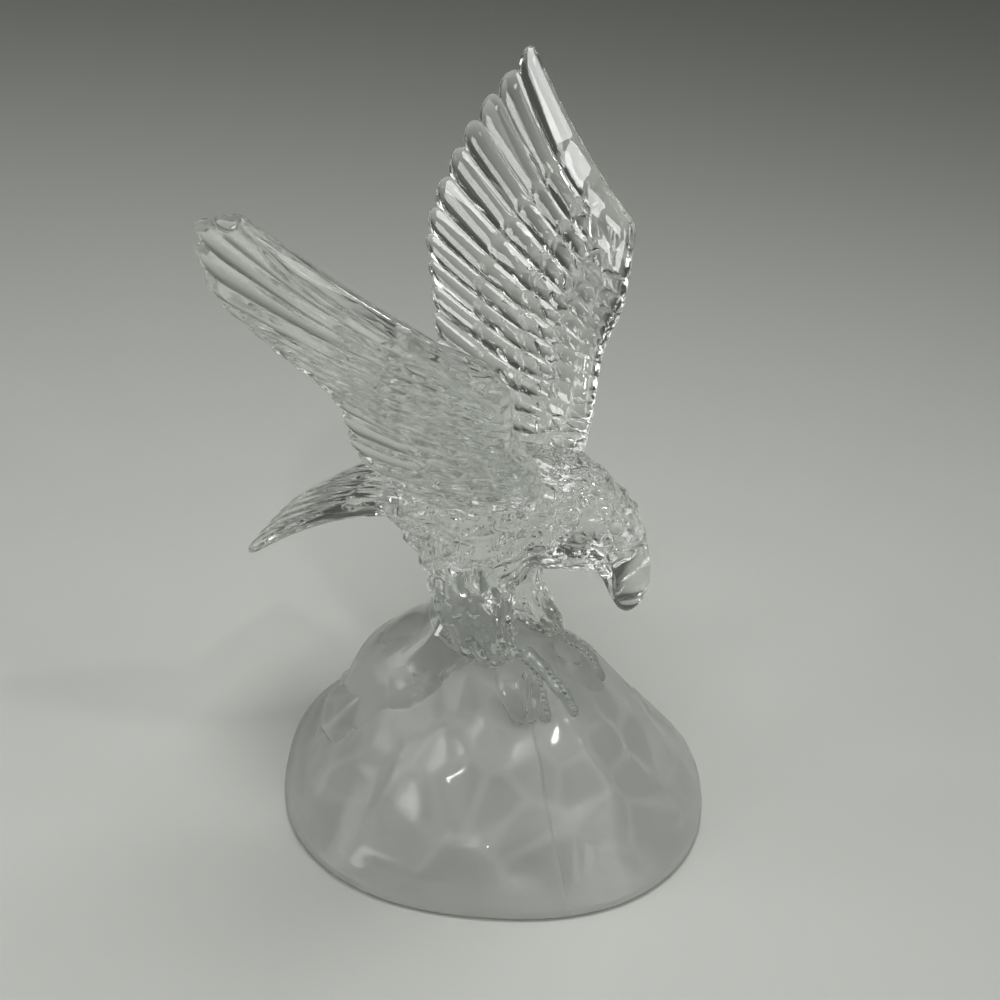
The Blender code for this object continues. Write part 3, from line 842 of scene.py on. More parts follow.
@dataclass
class Eye:
    """A round eye under the brow, in its ring of a lid."""

    side: Side
    place: tuple[float, float, float] = (0.0465, -0.2225, 0.319)
    half: float = 0.0125
    ball: tuple[int, int] = (24, 16)  # segments round the eye and from pole to pole
    haze: float = 0.3
    lid: float = 0.0150  # radius of the lid's middle line
    lid_half: float = 0.0030
    lid_points: tuple[int, int] = (36, 10)  # along the lid and round it
    facing: tuple[float, float, float] = (0.80, -0.46, 0.38)

    def build(self) -> list[bpy.types.Object]:
        """Makes the eye.

        Returns:
            Its ball and its lid.
        """
        ball = bmesh.new()
        sides, rings = self.ball
        bmesh.ops.create_uvsphere(ball, u_segments=sides, v_segments=rings, radius=self.half * EAGLE_HEIGHT)
        centre = np.array(self.place) * (self.side.value, 1, 1)
        bmesh.ops.translate(ball, verts=ball.verts, vec=in_frame(centre))
        layer = ball.verts.layers.float.new(HAZE)
        for vert in ball.verts:
            vert[layer] = self.haze
        name = self.side.name.lower()
        return [body_of(f"{name} eye", ball, Skin.ROCK), self.ring(f"{name} lid", centre)]

    def ring(self, name: str, centre: np.ndarray) -> bpy.types.Object:
        """Makes the lid, a thin ring that faces as the eye does.

        Args:
            name: the object's name.
            centre: the eye's centre.

        Returns:
            The lid's closed body.
        """
        facing = np.array(self.facing) * (self.side.value, 1, 1)
        facing /= np.linalg.norm(facing)
        level = np.cross(facing, (0.0, 0.0, 1.0))
        level /= np.linalg.norm(level)
        upward = np.cross(level, facing)
        long, short = (np.linspace(0, 2 * np.pi, count, endpoint=False) for count in self.lid_points)
        out = np.cos(long)[:, None] * level + np.sin(long)[:, None] * upward
        tube = np.cos(short)[None, :, None] * out[:, None] + np.sin(short)[None, :, None] * facing
        points = centre + self.lid * out[:, None] + self.lid_half * tube
        index = np.arange(len(long) * len(short)).reshape(len(long), len(short))
        corners = (index, np.roll(index, -1, 0), np.roll(index, -1, (0, 1)), np.roll(index, -1, 1))
        return meshed(name, in_frame(points), np.stack(corners, -1).reshape(-1, 4).tolist(), Skin.CLEAR)


@dataclass
class Leg:
    """A feathered thigh that narrows to the bare ankle."""

    side: Side
    stations: tuple[tuple[float, ...], ...]
    rings: int = 72
    sides: int = 72
    feathers: int = 13
    row: float = 0.054  # length of a row of feathers

    TUFTS = Tufts(0.85, 0.0135, 0.0085, 0.0075)
    FIRST_ROW = 6  # the row at the rock's top, counted up the leg
    SWAY, SWAYS = 0.35, 3  # how far rows run unevenly round the leg, in rows, and how often
    SHIFT, SHIFTS = 0.25, 2.1  # how far feathers are shifted from row to row, in feathers, and how often
    BARE = (-0.01, 0.03)  # heights between which the feathers end at the ankle
    DROOP = 0.4  # how far feathers hang down, as a share of their height

    def build(self) -> bpy.types.Object:
        """Makes the leg.

        Returns:
            Its closed body.
        """
        line = along(self.stations, np.linspace(0, len(self.stations) - 1, self.rings))
        z = line[:, 2:3]
        turn = turns_of(self.sides)
        row = self.FIRST_ROW - z / self.row + self.SWAY * np.sin(self.SWAYS * turn + 1)[None]
        across = self.feathers * turn[None] / (2 * np.pi) + self.SHIFT * np.sin(self.SHIFTS * z / self.row)
        height = self.TUFTS.height(row, across) * smooth(*self.BARE, z)
        points = level_rings(line, turn, height, self.DROOP)
        return closed_body(f"{self.side.name.lower()} leg", in_frame(points), Skin.CLEAR)


RIGHT_LEG = (
    (-0.059, 0.059, 0.247, 0.053, 0.088),
    (-0.071, 0.041, 0.176, 0.059, 0.084),
    (-0.074, 0.035, 0.106, 0.057, 0.078),
    (-0.076, 0.020, 0.059, 0.054, 0.070),
    (-0.076, 0.006, 0.024, 0.050, 0.062),
    (-0.076, -0.004, 0.002, 0.038, 0.048),
    (-0.076, -0.010, -0.090, 0.034, 0.044),
)
LEFT_LEG = (
    (0.059, 0.053, 0.247, 0.053, 0.088),
    (0.069, 0.041, 0.176, 0.057, 0.080),
    (0.073, 0.028, 0.118, 0.054, 0.070),
    (0.080, 0.006, 0.071, 0.050, 0.062),
    (0.086, -0.026, 0.029, 0.044, 0.052),
    (0.092, -0.058, -0.008, 0.034, 0.038),
    (0.092, -0.068, -0.110, 0.032, 0.036),
)


@dataclass
class Flare:
    """The smooth, hollow-sided flare between the trunk and the rock."""

    rings: int = 40
    sides: int = 64

    # centre (x, y), height, half the width, half the depth
    STATIONS = (
        (-0.012, 0.098, -0.180, 0.205, 0.222),
        (-0.012, 0.104, -0.082, 0.172, 0.176),
        (-0.012, 0.100, -0.035, 0.138, 0.138),
        (-0.010, 0.094, -0.004, 0.114, 0.110),
        (-0.008, 0.080, 0.030, 0.088, 0.080),
        (-0.006, 0.072, 0.066, 0.070, 0.066),
        (-0.006, 0.066, 0.105, 0.058, 0.058),
    )

    CLEAR_HAZE, FOOT_HAZE = -0.85, 1.4  # haze of its clear top, and what its hazy foot has more
    HAZY = (-0.060, 0.0)  # heights between which the haze ends
    RAGGED, STREAKS = 0.008, 19  # how uneven that is round the flare, and how often

    def build(self) -> bpy.types.Object:
        """Makes the flare.

        Returns:
            Its closed body.
        """
        turn = turns_of(self.sides)
        points = level_rings(along(self.STATIONS, np.linspace(0, len(self.STATIONS) - 1, self.rings)), turn)
        clear = smooth(*self.HAZY, points[..., 2] + self.RAGGED * np.sin(self.STREAKS * turn))
        return closed_body("flare", in_frame(points), Skin.ROCK, self.CLEAR_HAZE + self.FOOT_HAZE * (1 - clear))


@dataclass
class Facets:
    """Planes round a centre, whose common inside is a cut stone with soft edges."""

    centre: np.ndarray
    sharpness: float  # how crisply planes meet, per metre
    normals: list[np.ndarray] = field(default_factory=list)
    reaches: list[float] = field(default_factory=list)

    FACING = 0.02  # a plane counts for the directions that it faces by more than this

    def add(self, point: np.ndarray, normal: np.ndarray) -> None:
        """Adds the plane through a point with an outward normal."""
        self.normals.append(normal)
        self.reaches.append(float(np.dot(point - self.centre, normal)))

    def radius(self, ways: np.ndarray, limits: Sequence[np.ndarray] = ()) -> np.ndarray:
        """How far the stone reaches from its centre.

        Args:
            ways: unit directions, as (..., 3).
            limits: further reaches in those directions, which soften into the planes.

        Returns:
            One radius a direction.
        """
        facing = ways @ np.array(self.normals).T
        hits = np.where(facing > self.FACING, np.array(self.reaches) / np.maximum(facing, self.FACING), np.inf)
        reaches = np.concatenate([hits, *[limit[..., None] for limit in limits]], -1)
        nearest = reaches.min(-1, keepdims=True)
        return nearest[..., 0] - np.log(np.exp(-self.sharpness * (reaches - nearest)).sum(-1)) / self.sharpness


@dataclass
class Rock:
    """The oval mound and its boulders, cut into shallow facets with softened edges."""

    rim_length: float = 0.1526
    rim_width: float = 0.1458
    rim_turn: float = 20.0
    rim_square: float = 2.3  # how square the foot is, where 2 is an oval
    band: float = 0.003  # height of the smooth band at the foot
    foot_round: float = 0.0015
    lean: float = -0.025  # how far the mound's facets lean ahead at its top, as a share of half its width
    seed: int = 31
    sharpness: float = 3600.0
    rings: int = 76
    sides: int = 288
    pads: int = 84  # shallow pads that the large facets are broken into
    pad_tilt: float = 0.120  # how steep pads are, as a rise over a run
    pad_haze: float = 0.45  # the most that a whole pad is hazy
    pad_stray: float = 0.00025  # how far pads stand in or out
    pad_edge: float = 22000.0  # how sharply a pad ends, per square metre
    pad_band: float = 0.0050  # how much farther the next pad's middle is where the haze and painted sheen between them end
    stone_pads: int = 22
    stone_crisp: float = 1700.0  # sharpness from which a stone has all of its pads' relief
    seam_turns: tuple[float, float] = (-139.5, 40.5)
    seam_width: float = 0.00045
    seam_depth: float = 0.0008
    haze_centre: tuple[float, float] = (-0.004, 0.017)
    haze_reach: float = 0.052
    rim_haze: float = 0.55
    # where the rock's outline is drawn in: turn and spread in degrees, and share
    draws: tuple[tuple[float, float, float], ...] = ((118.0, 45.0, 0.040), (-30.0, 24.0, 0.036))

    # rings of facets: share of the rim's radius, share of the rock's height, lean in degrees, count, stray
    RINGS = (
        (0.893, 0.17, 43.7, 17, 0.2),
        (0.859, 0.34, 38.9, 14, 1.0),
        (0.647, 0.56, 41.5, 11, 1.0),
        (0.452, 0.78, 53.7, 8, 1.0),
        (0.255, 0.95, 72.0, 6, 1.0),
    )
    # boulders: centre as shares of the rim's radius and the rock's height, radii, facets, seed, sharpness
    STONES = (
        ("front stone", (0.08, -0.28, 0.67), (0.0148, 0.0142, 0.0150), 16, 5, 700.0),
        ("back ledge", (-0.21, 0.56, 0.34), (0.0170, 0.0130, 0.0150), 13, 8, 1800.0),
        ("far ledge", (0.50, 0.34, 0.36), (0.0160, 0.0190, 0.0150), 13, 21, 1800.0),
    )
    FACET_STRAYS = (0.35, 7.0, 0.0016)  # of a facet's turn in facets, its lean in degrees and its reach
    PAD_STRAY = 0.25  # of a pad's turn
    FOOT_RINGS = ((1.0, 0.0), (0.3, 0.3), (0.0, 1.0))  # inset and height of each ring, in the foot's rounding
    # heights, in bands, between which facets, pads and the seam start and the rim's haze ends
    FACETS_FROM, PADS_FROM, SEAM_FROM, PALE_TO = (0.5, 1.3), (2.2, 3.4), (0.9, 1.6), (1.5, 3.5)
    SEAM_FAN, SEAM_POINTS = 0.012, 7  # the angle either side of a seam that has finer points, and how many
    RIM_WAVES, RIM_UNEVEN = (5, 3), 0.5  # waves round the pale rim's upper end, and how high they are as a share
    SHOULDER_HAZE, SHOULDER_EDGE = 0.9, 0.5  # the most haze below the flare, and the share of its reach it's full to
    STREAKS = (23, 37)  # waves round the shoulder, which together make its streaks
    STREAK_REACH, STREAK_HAZE = 0.5, 0.4  # how much a streak lengthens the haze, and how much of it hangs on it
    STONE_STRAYS = (0.3, 0.07)  # of a stone's plane: its turn, and how far it's set in as a share
    STONE_POINTS, STONE_TOP = (72, 44), 1.5  # points round and up a stone, and the highest angle of them

    def turned(self, x: float, y: float) -> np.ndarray:
        """A level vector, turned from the foot's own oval into the frame.

        Args:
            x: its length along the oval.
            y: its length across the oval.

        Returns:
            The vector.
        """
        turn = math.radians(self.rim_turn)
        c, s = math.cos(turn), math.sin(turn)
        return np.array((c * x - s * y, s * x + c * y, 0.0))

    def foot_point(self, turn: float, share: float, z: float) -> np.ndarray:
        """A point of the foot's rounded oval.

        Args:
            turn: its angle in the oval.
            share: the share of the oval's size that it's drawn in to.
            z: its height.

        Returns:
            The point, in the frame.
        """
        x = self.rim_length / 2 * share * bulged(math.cos(turn), 2 / self.rim_square)
        y = self.rim_width / 2 * share * bulged(math.sin(turn), 2 / self.rim_square)
        return self.turned(x, y) + np.array((0.0, 0.0, z))

    def foot_side(self, turn: float) -> np.ndarray:
        """The level direction that the oval faces.

        Args:
            turn: the angle in the oval.

        Returns:
            A unit vector, in the frame.
        """
        power = 2 - 2 / self.rim_square
        side = self.turned(
            bulged(math.cos(turn), power) / self.rim_length, bulged(math.sin(turn), power) / self.rim_width
        )
        return side / np.linalg.norm(side)

    def rim_reach(self, turns: np.ndarray) -> np.ndarray:
        """The foot's radius in level directions.

        Args:
            turns: the directions, as angles in the frame.

        Returns:
            One radius a direction.
        """
        own = turns - math.radians(self.rim_turn)
        x = np.abs(np.cos(own) / (self.rim_length / 2)) ** self.rim_square
        y = np.abs(np.sin(own) / (self.rim_width / 2)) ** self.rim_square
        return (x + y) ** (-1 / self.rim_square)

    def above(self, heights: np.ndarray, bands: tuple[float, float], stretch: np.ndarray | float = 1.0) -> np.ndarray:
        """0 below the first and 1 above the second of two heights that are given in bands."""
        return smooth(bands[0] * self.band, bands[1] * self.band * stretch, heights)

    def facets(self) -> Facets:
        """The mound's large facets, ring by ring.

        Returns:
            Their planes, with the flat top last.
        """
        rng = random.Random(self.seed)
        facets = Facets(np.array((0.0, 0.0, self.band)), self.sharpness)
        stray_turn, stray_lean, stray_reach = self.FACET_STRAYS
        for share, rise, lean, count, stray in self.RINGS:
            for k in range(count):
                turn = 2 * math.pi * (k + stray_turn * rng.uniform(-1, 1)) / count
                up = math.radians(lean + stray_lean * stray * rng.uniform(-1, 1))
                out = stray_reach * stray * rng.uniform(-1, 1)
                point = self.foot_point(turn, share, ROCK_HEIGHT * rise)
                point[1] += self.lean * rise * self.rim_width / 2
                normal = self.foot_side(turn) * math.cos(up) + np.array((0.0, 0.0, math.sin(up)))
                facets.add(point + normal * out, normal)
        facets.add(np.array((0.0, 0.0, ROCK_HEIGHT)), np.array((0.0, 0.0, 1.0)))
        return facets

    def pad_relief(
        self, points: np.ndarray, ways: np.ndarray, pads: int, lowest: float, seed: int
    ) -> tuple[np.ndarray, np.ndarray]:
        """The relief of shallow pads, each tilted its own way and softly ended.

        Args:
            points: the surface's points, as (rings, points a ring, 3).
            ways: their directions from the centre.
            pads: how many pads cover the directions.
            lowest: the lowest pad's sine of elevation.
            seed: what the pads' stray and tilts are drawn from.

        Returns:
            The height at each point, and from 0 to 1 how hazy it is, which is most where pads meet: rougher there, and
            painted paler as a sheen along the pad edges.
        """
        rng = np.random.default_rng(seed)
        number = np.arange(pads)
        up = lowest + (1 - lowest) * (number + 0.5) / pads
        turn = GOLDEN_TURN * number + rng.uniform(-self.PAD_STRAY, self.PAD_STRAY, pads)
        level = np.sqrt(1 - up**2)
        pad_ways = np.column_stack([level * np.cos(turn), level * np.sin(turn), up])
        near = np.argmax(pad_ways @ ways.reshape(-1, 3).T, axis=1)
        centres = points.reshape(-1, 3)[near]
        tilts = rng.normal(0.0, self.pad_tilt, (pads, 3))
        strays = rng.normal(0.0, self.pad_stray, pads)
        tones = self.pad_haze * rng.uniform(0.0, 1.0, pads) ** 2
        height, hazy = np.empty(points.shape[:2]), np.empty(points.shape[:2])
        for row, ring in enumerate(points):
            apart = ring[:, None] - centres[None]
            squares = (apart**2).sum(-1)
            weight = np.exp(-self.pad_edge * (squares - squares.min(1, keepdims=True)))
            weight /= weight.sum(1, keepdims=True)
            height[row] = (weight * ((apart * tilts).sum(-1) + strays)).sum(1)
            nearest = np.sqrt(np.partition(squares, 1, 1)[:, :2])
            # where pads meet the rock is rougher and painted paler, a painted sheen along the pad edges
            between = 1 - smooth(0.0, self.pad_band, nearest[:, 1] - nearest[:, 0])
            hazy[row] = np.maximum(between, (weight * tones).sum(1))
        return height, hazy

    def mound(self) -> bpy.types.Object:
        """Makes the mound, from its rounded foot up.

        Returns:
            Its closed body.
        """
        seams = np.radians(np.array(self.seam_turns))
        fan = np.linspace(-self.SEAM_FAN, self.SEAM_FAN, self.SEAM_POINTS)
        even = np.linspace(-math.pi, math.pi, self.sides, endpoint=False)
        turns = np.sort(np.concatenate([even, *[seam + fan for seam in seams]]))
        turn, up = np.meshgrid(turns, np.linspace(0, math.pi / 2, self.rings, endpoint=False))
        ways = ways_of(turn, up)
        wall = self.rim_reach(turn) / np.cos(up)
        facets = self.facets()
        cut = self.above(self.band + wall * np.sin(up), self.FACETS_FROM)
        reach = wall + (facets.radius(ways, (wall,)) - wall) * cut
        points = facets.centre + ways * reach[..., None]
        relief, hazy = self.pad_relief(points, ways, self.pads, 0.0, self.seed)
        padded = self.above(points[..., 2], self.PADS_FROM)
        relief *= padded
        seamed = self.above(points[..., 2], self.SEAM_FROM)
        for seam in seams:
            relief -= self.seam_depth * hump(reach * off_turn(turn, seam), self.seam_width) * seamed
        points = facets.centre + ways * (reach + relief)[..., None]
        rim = facets.centre + ways[0] * wall[0][:, None]
        foot = []
        for inset, rise in self.FOOT_RINGS:
            ring = rim * (1 - 2 * (inset * self.foot_round) / self.rim_width)
            ring[:, 2] = rise * self.foot_round
            foot.append(ring)
        whole = np.concatenate([foot, points])
        whole[..., :2] *= self.drawn(turns)[None, :, None]
        haze = [np.full((len(foot), len(turns)), self.rim_haze), self.haziness(points, turn, hazy * padded)]
        return closed_body("mound", whole, Skin.ROCK, np.concatenate(haze))

    def drawn(self, turns: np.ndarray) -> np.ndarray:
        """The share of its full oval that the rock keeps.

        Args:
            turns: level directions, as angles.

        Returns:
            One share a direction.
        """
        kept = np.ones_like(turns)
        for turn, spread, share in self.draws:
            kept -= share * hump(np.degrees(off_turn(turns, math.radians(turn))), spread)
        return kept

    def haziness(self, points: np.ndarray, turn: np.ndarray, hazy: np.ndarray) -> np.ndarray:
        """How hazy the mound is, with its pads, its shoulder below the flare and its pale rim.

        Args:
            points: the mound's points above its foot.
            turn: their angles round the rock.
            hazy: the pads' own haze.

        Returns:
            One value a point, from 0 to 1.
        """
        first, second = self.RIM_WAVES
        uneven = 1 + self.RIM_UNEVEN * np.sin(first * turn) * np.sin(second * turn + 1)
        pale = self.rim_haze * (1 - self.above(points[..., 2], self.PALE_TO, uneven))
        return np.maximum(np.maximum(hazy, self.shoulder_haze(points)), pale)

    def shoulder_haze(self, points: np.ndarray) -> np.ndarray:
        """The streaky haze where the rock starts below the flare.

        Args:
            points: the mound's points.

        Returns:
            One value a point, from 0 to 1.
        """
        x, y = self.haze_centre
        away = np.hypot(points[..., 0] - x, points[..., 1] - y)
        turn = np.arctan2(points[..., 1] - y, points[..., 0] - x)
        first, second = self.STREAKS
        streak = 0.5 + 0.25 * np.sin(first * turn) + 0.25 * np.sin(second * turn + 1)
        reach = self.haze_reach * (0.75 + self.STREAK_REACH * streak)
        shade = 1 - self.STREAK_HAZE + self.STREAK_HAZE * streak
        return self.SHOULDER_HAZE * (1 - smooth(self.SHOULDER_EDGE, 1.0, away / reach)) * shade

    def stone(
        self, name: str, centre: Sequence[float], radii: Sequence[float], facets: int, seed: int, sharpness: float
    ) -> bpy.types.Object:
        """Makes a boulder from planes laid round an oval ball.

        Args:
            name: the object's name.
            centre: its centre, as shares of half the rim's width and of the rock's height.
            radii: the ball's radii.
            facets: how many planes it has.
            seed: what their strays are drawn from.
            sharpness: how crisply they meet, per metre.

        Returns:
            The boulder's closed body.
        """
        rng = random.Random(seed)
        middle = np.array((centre[0] * self.rim_width / 2, centre[1] * self.rim_width / 2, centre[2] * ROCK_HEIGHT))
        stone = Facets(middle, sharpness)
        stray_turn, inset = self.STONE_STRAYS
        for k in range(facets):
            level = 1 - (2 * k + 1) / facets
            turn = GOLDEN_TURN * k + rng.uniform(-stray_turn, stray_turn)
            ring = math.sqrt(1 - level * level)
            way = np.array((ring * math.cos(turn), ring * math.sin(turn), level))
            normal = way / np.array(radii)
            stone.add(middle + np.array(radii) * way * (1 - inset * rng.random()), normal / np.linalg.norm(normal))
        sides, rows = self.STONE_POINTS
        turns = np.linspace(-math.pi, math.pi, sides, endpoint=False)
        ways = ways_of(*np.meshgrid(turns, np.linspace(-self.STONE_TOP, self.STONE_TOP, rows)))
        reach = stone.radius(ways)
        relief, hazy = self.pad_relief(middle + ways * reach[..., None], ways, self.stone_pads, -1.0, seed)
        cut = min(sharpness / self.stone_crisp, 1.0) ** 2
        points = middle + ways * (reach + relief * cut)[..., None]
        return closed_body(name, points, Skin.ROCK, hazy * cut)

    def build(self) -> list[bpy.types.Object]:
        """Makes the mound and its boulders, the mound first."""
        return [self.mound()] + [self.stone(*sizes) for sizes in self.STONES]


class Ground:
    """The height of the rock under the feet."""

    SKY = 1.0  # a height over everything

    def __init__(self, pieces: Sequence[bpy.types.Object]) -> None:
        """Reads the pieces as they are now.

        Args:
            pieces: the bodies that can be stood on.
        """
        self.pieces = list(pieces)
        bpy.context.view_layer.update()
        graph = bpy.context.evaluated_depsgraph_get()
        self.trees = [BVHTree.FromObject(piece, graph) for piece in pieces]

    def under(self, x: float, y: float) -> float:
        """The height of the topmost piece at (x, y)."""
        hits = (tree.ray_cast(Vector((x, y, self.SKY)), Vector((0.0, 0.0, -1.0)))[0] for tree in self.trees)
        return max((hit.z for hit in hits if hit is not None), default=0.0)


class ToeForm(Enum):
    """The plan of a toe: a jointed finger, a broad oval pad, or a pointed talon."""

    JOINTED = "jointed"
    PAD = "pad"
    TALON = "talon"


@dataclass(frozen=True)
class Toe:
    """A toe on the rock: where it starts and ends, half its width, its form, and how far it stands out."""

    start: tuple[float, float]
    end: tuple[float, float]
    half: float
    form: ToeForm = ToeForm.JOINTED
    stands: float = 0.55  # height over the rock, as a share of half the width

    ROUND_LEAST = 0.004  # what the rounding of an end leaves, as the square of a share
    PAD_MIDDLE, PAD_HALF = 0.52, 0.50  # where a pad is widest and half its length, as shares of the toe's
    # how late a talon narrows, the width that its point keeps, and the share over which it swells
    TALON_POWER, TALON_LEAST, TALON_SWELLS = 0.7, 0.06, 0.25
    KNUCKLES, KNUCKLE, TAPER = 3, 0.10, 0.25  # a finger's knuckles, their swell, and how much it narrows
    END_FROM, END_RUN = 0.8, 0.205  # where a finger's end rounds off, and over which share

    def swell(self, share: np.ndarray) -> np.ndarray:
        """The toe's width along its length.

        Args:
            share: places along the toe, from 0 at its start to 1 at its end.

        Returns:
            The width at each, as a share of its widest.
        """
        if self.form is ToeForm.PAD:
            return np.sqrt(np.clip(1 - ((share - self.PAD_MIDDLE) / self.PAD_HALF) ** 2, self.ROUND_LEAST, 1.0))
        if self.form is ToeForm.TALON:
            point = np.clip(1 - share, 0.0, 1.0) ** self.TALON_POWER
            return point * smooth(-self.TALON_SWELLS, self.TALON_SWELLS, share) + self.TALON_LEAST
        joints = (1 - self.TAPER * share) * (1 + self.KNUCKLE * np.cos(2 * np.pi * self.KNUCKLES * share))
        past = np.maximum(share - self.END_FROM, 0.0) / self.END_RUN
        return joints * np.sqrt(np.clip(1 - past**2, self.ROUND_LEAST, 1.0))


@dataclass
class Foot:
    """Toes that lie along the rock, with rows of round scutes."""

    side: Side
    toes: tuple[Toe, ...]
    scutes: tuple[tuple[tuple[float, float], ...], ...]
    rings: int = 30
    sides: int = 24
    keel: float = 2.2  # how deep a toe reaches into the rock, in half its width
    over: float = 1.3  # how high it rises from its middle, in its own stand
    sunk: float = 0.3  # how deep that middle is set, in the same
    haze: float = -0.6
    scute_half: float = 0.00085
    scute_apart: float = 0.00195
    scute_points: int = 40  # along a row of scutes, before they're set out evenly
    calm: tuple[int, int] = (4, 2)  # points either side that toes and scutes are evened out over

    @staticmethod
    def laid(ground: Ground, corners: Sequence[Sequence[float]], count: int, calm: int) -> np.ndarray:
        """A line through corners in plan, laid on the ground.

        Args:
            ground: what it lies on.
            corners: the corners, in shares of the eagle's height.
            count: how many points it gets.
            calm: how many points on either side its height is evened out over.

        Returns:
            The points, in metres.
        """
        flat = along(corners, np.linspace(0, len(corners) - 1, count)) * EAGLE_HEIGHT
        height = np.array([ground.under(x, y) for x, y in flat])
        height = np.convolve(np.pad(height, calm, mode="edge"), np.ones(2 * calm + 1) / (2 * calm + 1), mode="valid")
        return np.column_stack([flat, height])

    def toe(self, name: str, path: np.ndarray, toe: Toe) -> bpy.types.Object:
        """Makes a toe, from the ankle to its tip.

        Args:
            name: the object's name.
            path: its line on the rock.
            toe: its sizes.

        Returns:
            Its closed body.
        """
        ahead = np.gradient(path, axis=0)
        ahead /= np.linalg.norm(ahead, axis=1, keepdims=True)
        across = np.cross(ahead, (0.0, 0.0, 1.0))
        across /= np.linalg.norm(across, axis=1, keepdims=True)
        lift = np.cross(across, ahead)
        radius = toe.half * EAGLE_HEIGHT * toe.swell(np.linspace(0, 1, self.rings))
        turn = turns_of(self.sides)
        rise = np.sin(turn) * np.where(np.sin(turn) > 0, toe.stands * self.over, self.keel)
        ring = across[:, None] * np.cos(turn)[None, :, None] + lift[:, None] * rise[None, :, None]
        centre = path - lift * (self.sunk * toe.stands * radius)[:, None]
        points = centre[:, None] + radius[:, None, None] * ring
        return closed_body(name, points, Skin.ROCK, np.full(points.shape[:2], self.haze))

    def build(self, ground: Ground, nodes: "NodeWorks") -> list[bpy.types.Object]:
        """Makes the foot.

        Args:
            ground: what it stands on.
            nodes: what makes its scutes.

        Returns:
            Its toes and then its scutes.
        """
        name = self.side.name.lower()
        toe_calm, scute_calm = self.calm
        made = []
        for number, toe in enumerate(self.toes):
            path = self.laid(ground, (toe.start, toe.end), self.rings, toe_calm)
            made.append(self.toe(f"{name} toe {number}", path, toe))
        top = Ground([*ground.pieces, *made])
        lines = [self.laid(top, corners, self.scute_points, scute_calm) for corners in self.scutes]
        return [*made, nodes.beads(f"{name} scutes", lines, self.scute_apart, self.scute_half)]


RIGHT_FOOT = (
    Toe((-0.062, -0.050), (-0.163, -0.124), 0.047, ToeForm.PAD, 0.42),
    Toe((-0.050, -0.055), (-0.142, -0.158), 0.021),
    Toe((-0.036, -0.066), (-0.096, -0.200), 0.021),
    Toe((-0.090, 0.030), (-0.140, 0.078), 0.024),
    Toe((-0.112, -0.094), (-0.160, -0.120), 0.017, ToeForm.TALON, 3.4),
)
RIGHT_SCUTES = (
    ((-0.052, -0.046), (-0.063, -0.066), (-0.076, -0.087), (-0.092, -0.117)),
    ((-0.074, -0.092), (-0.101, -0.122), (-0.139, -0.155)),
    ((-0.060, -0.120), (-0.073, -0.147), (-0.085, -0.171), (-0.096, -0.194)),
)
LEFT_FOOT = (
    Toe((0.075, -0.080), (0.010, -0.160), 0.024, stands=0.25),
    Toe((0.090, -0.090), (0.062, -0.200), 0.026, stands=0.25),
    Toe((0.110, -0.080), (0.150, -0.160), 0.026, stands=0.45),
    Toe((0.115, -0.030), (0.165, 0.025), 0.024, stands=0.45),
)
LEFT_SCUTES = (
    ((0.118, -0.095), (0.146, -0.150)),
    ((0.090, -0.100), (0.066, -0.185)),
)


def set_sockets(node: bpy.types.Node, values: dict) -> None:
    """Sets a node's own inputs, by name or number, to plain values."""
    for socket, value in values.items():
        node.inputs[socket].default_value = value


def link_nodes(tree: bpy.types.NodeTree, joins: Sequence[tuple]) -> None:
    """Links nodes of a tree, each row being a node and its output, then a node and its input."""
    for start, output, end, socket in joins:
        tree.links.new(start.outputs[output], end.inputs[socket])


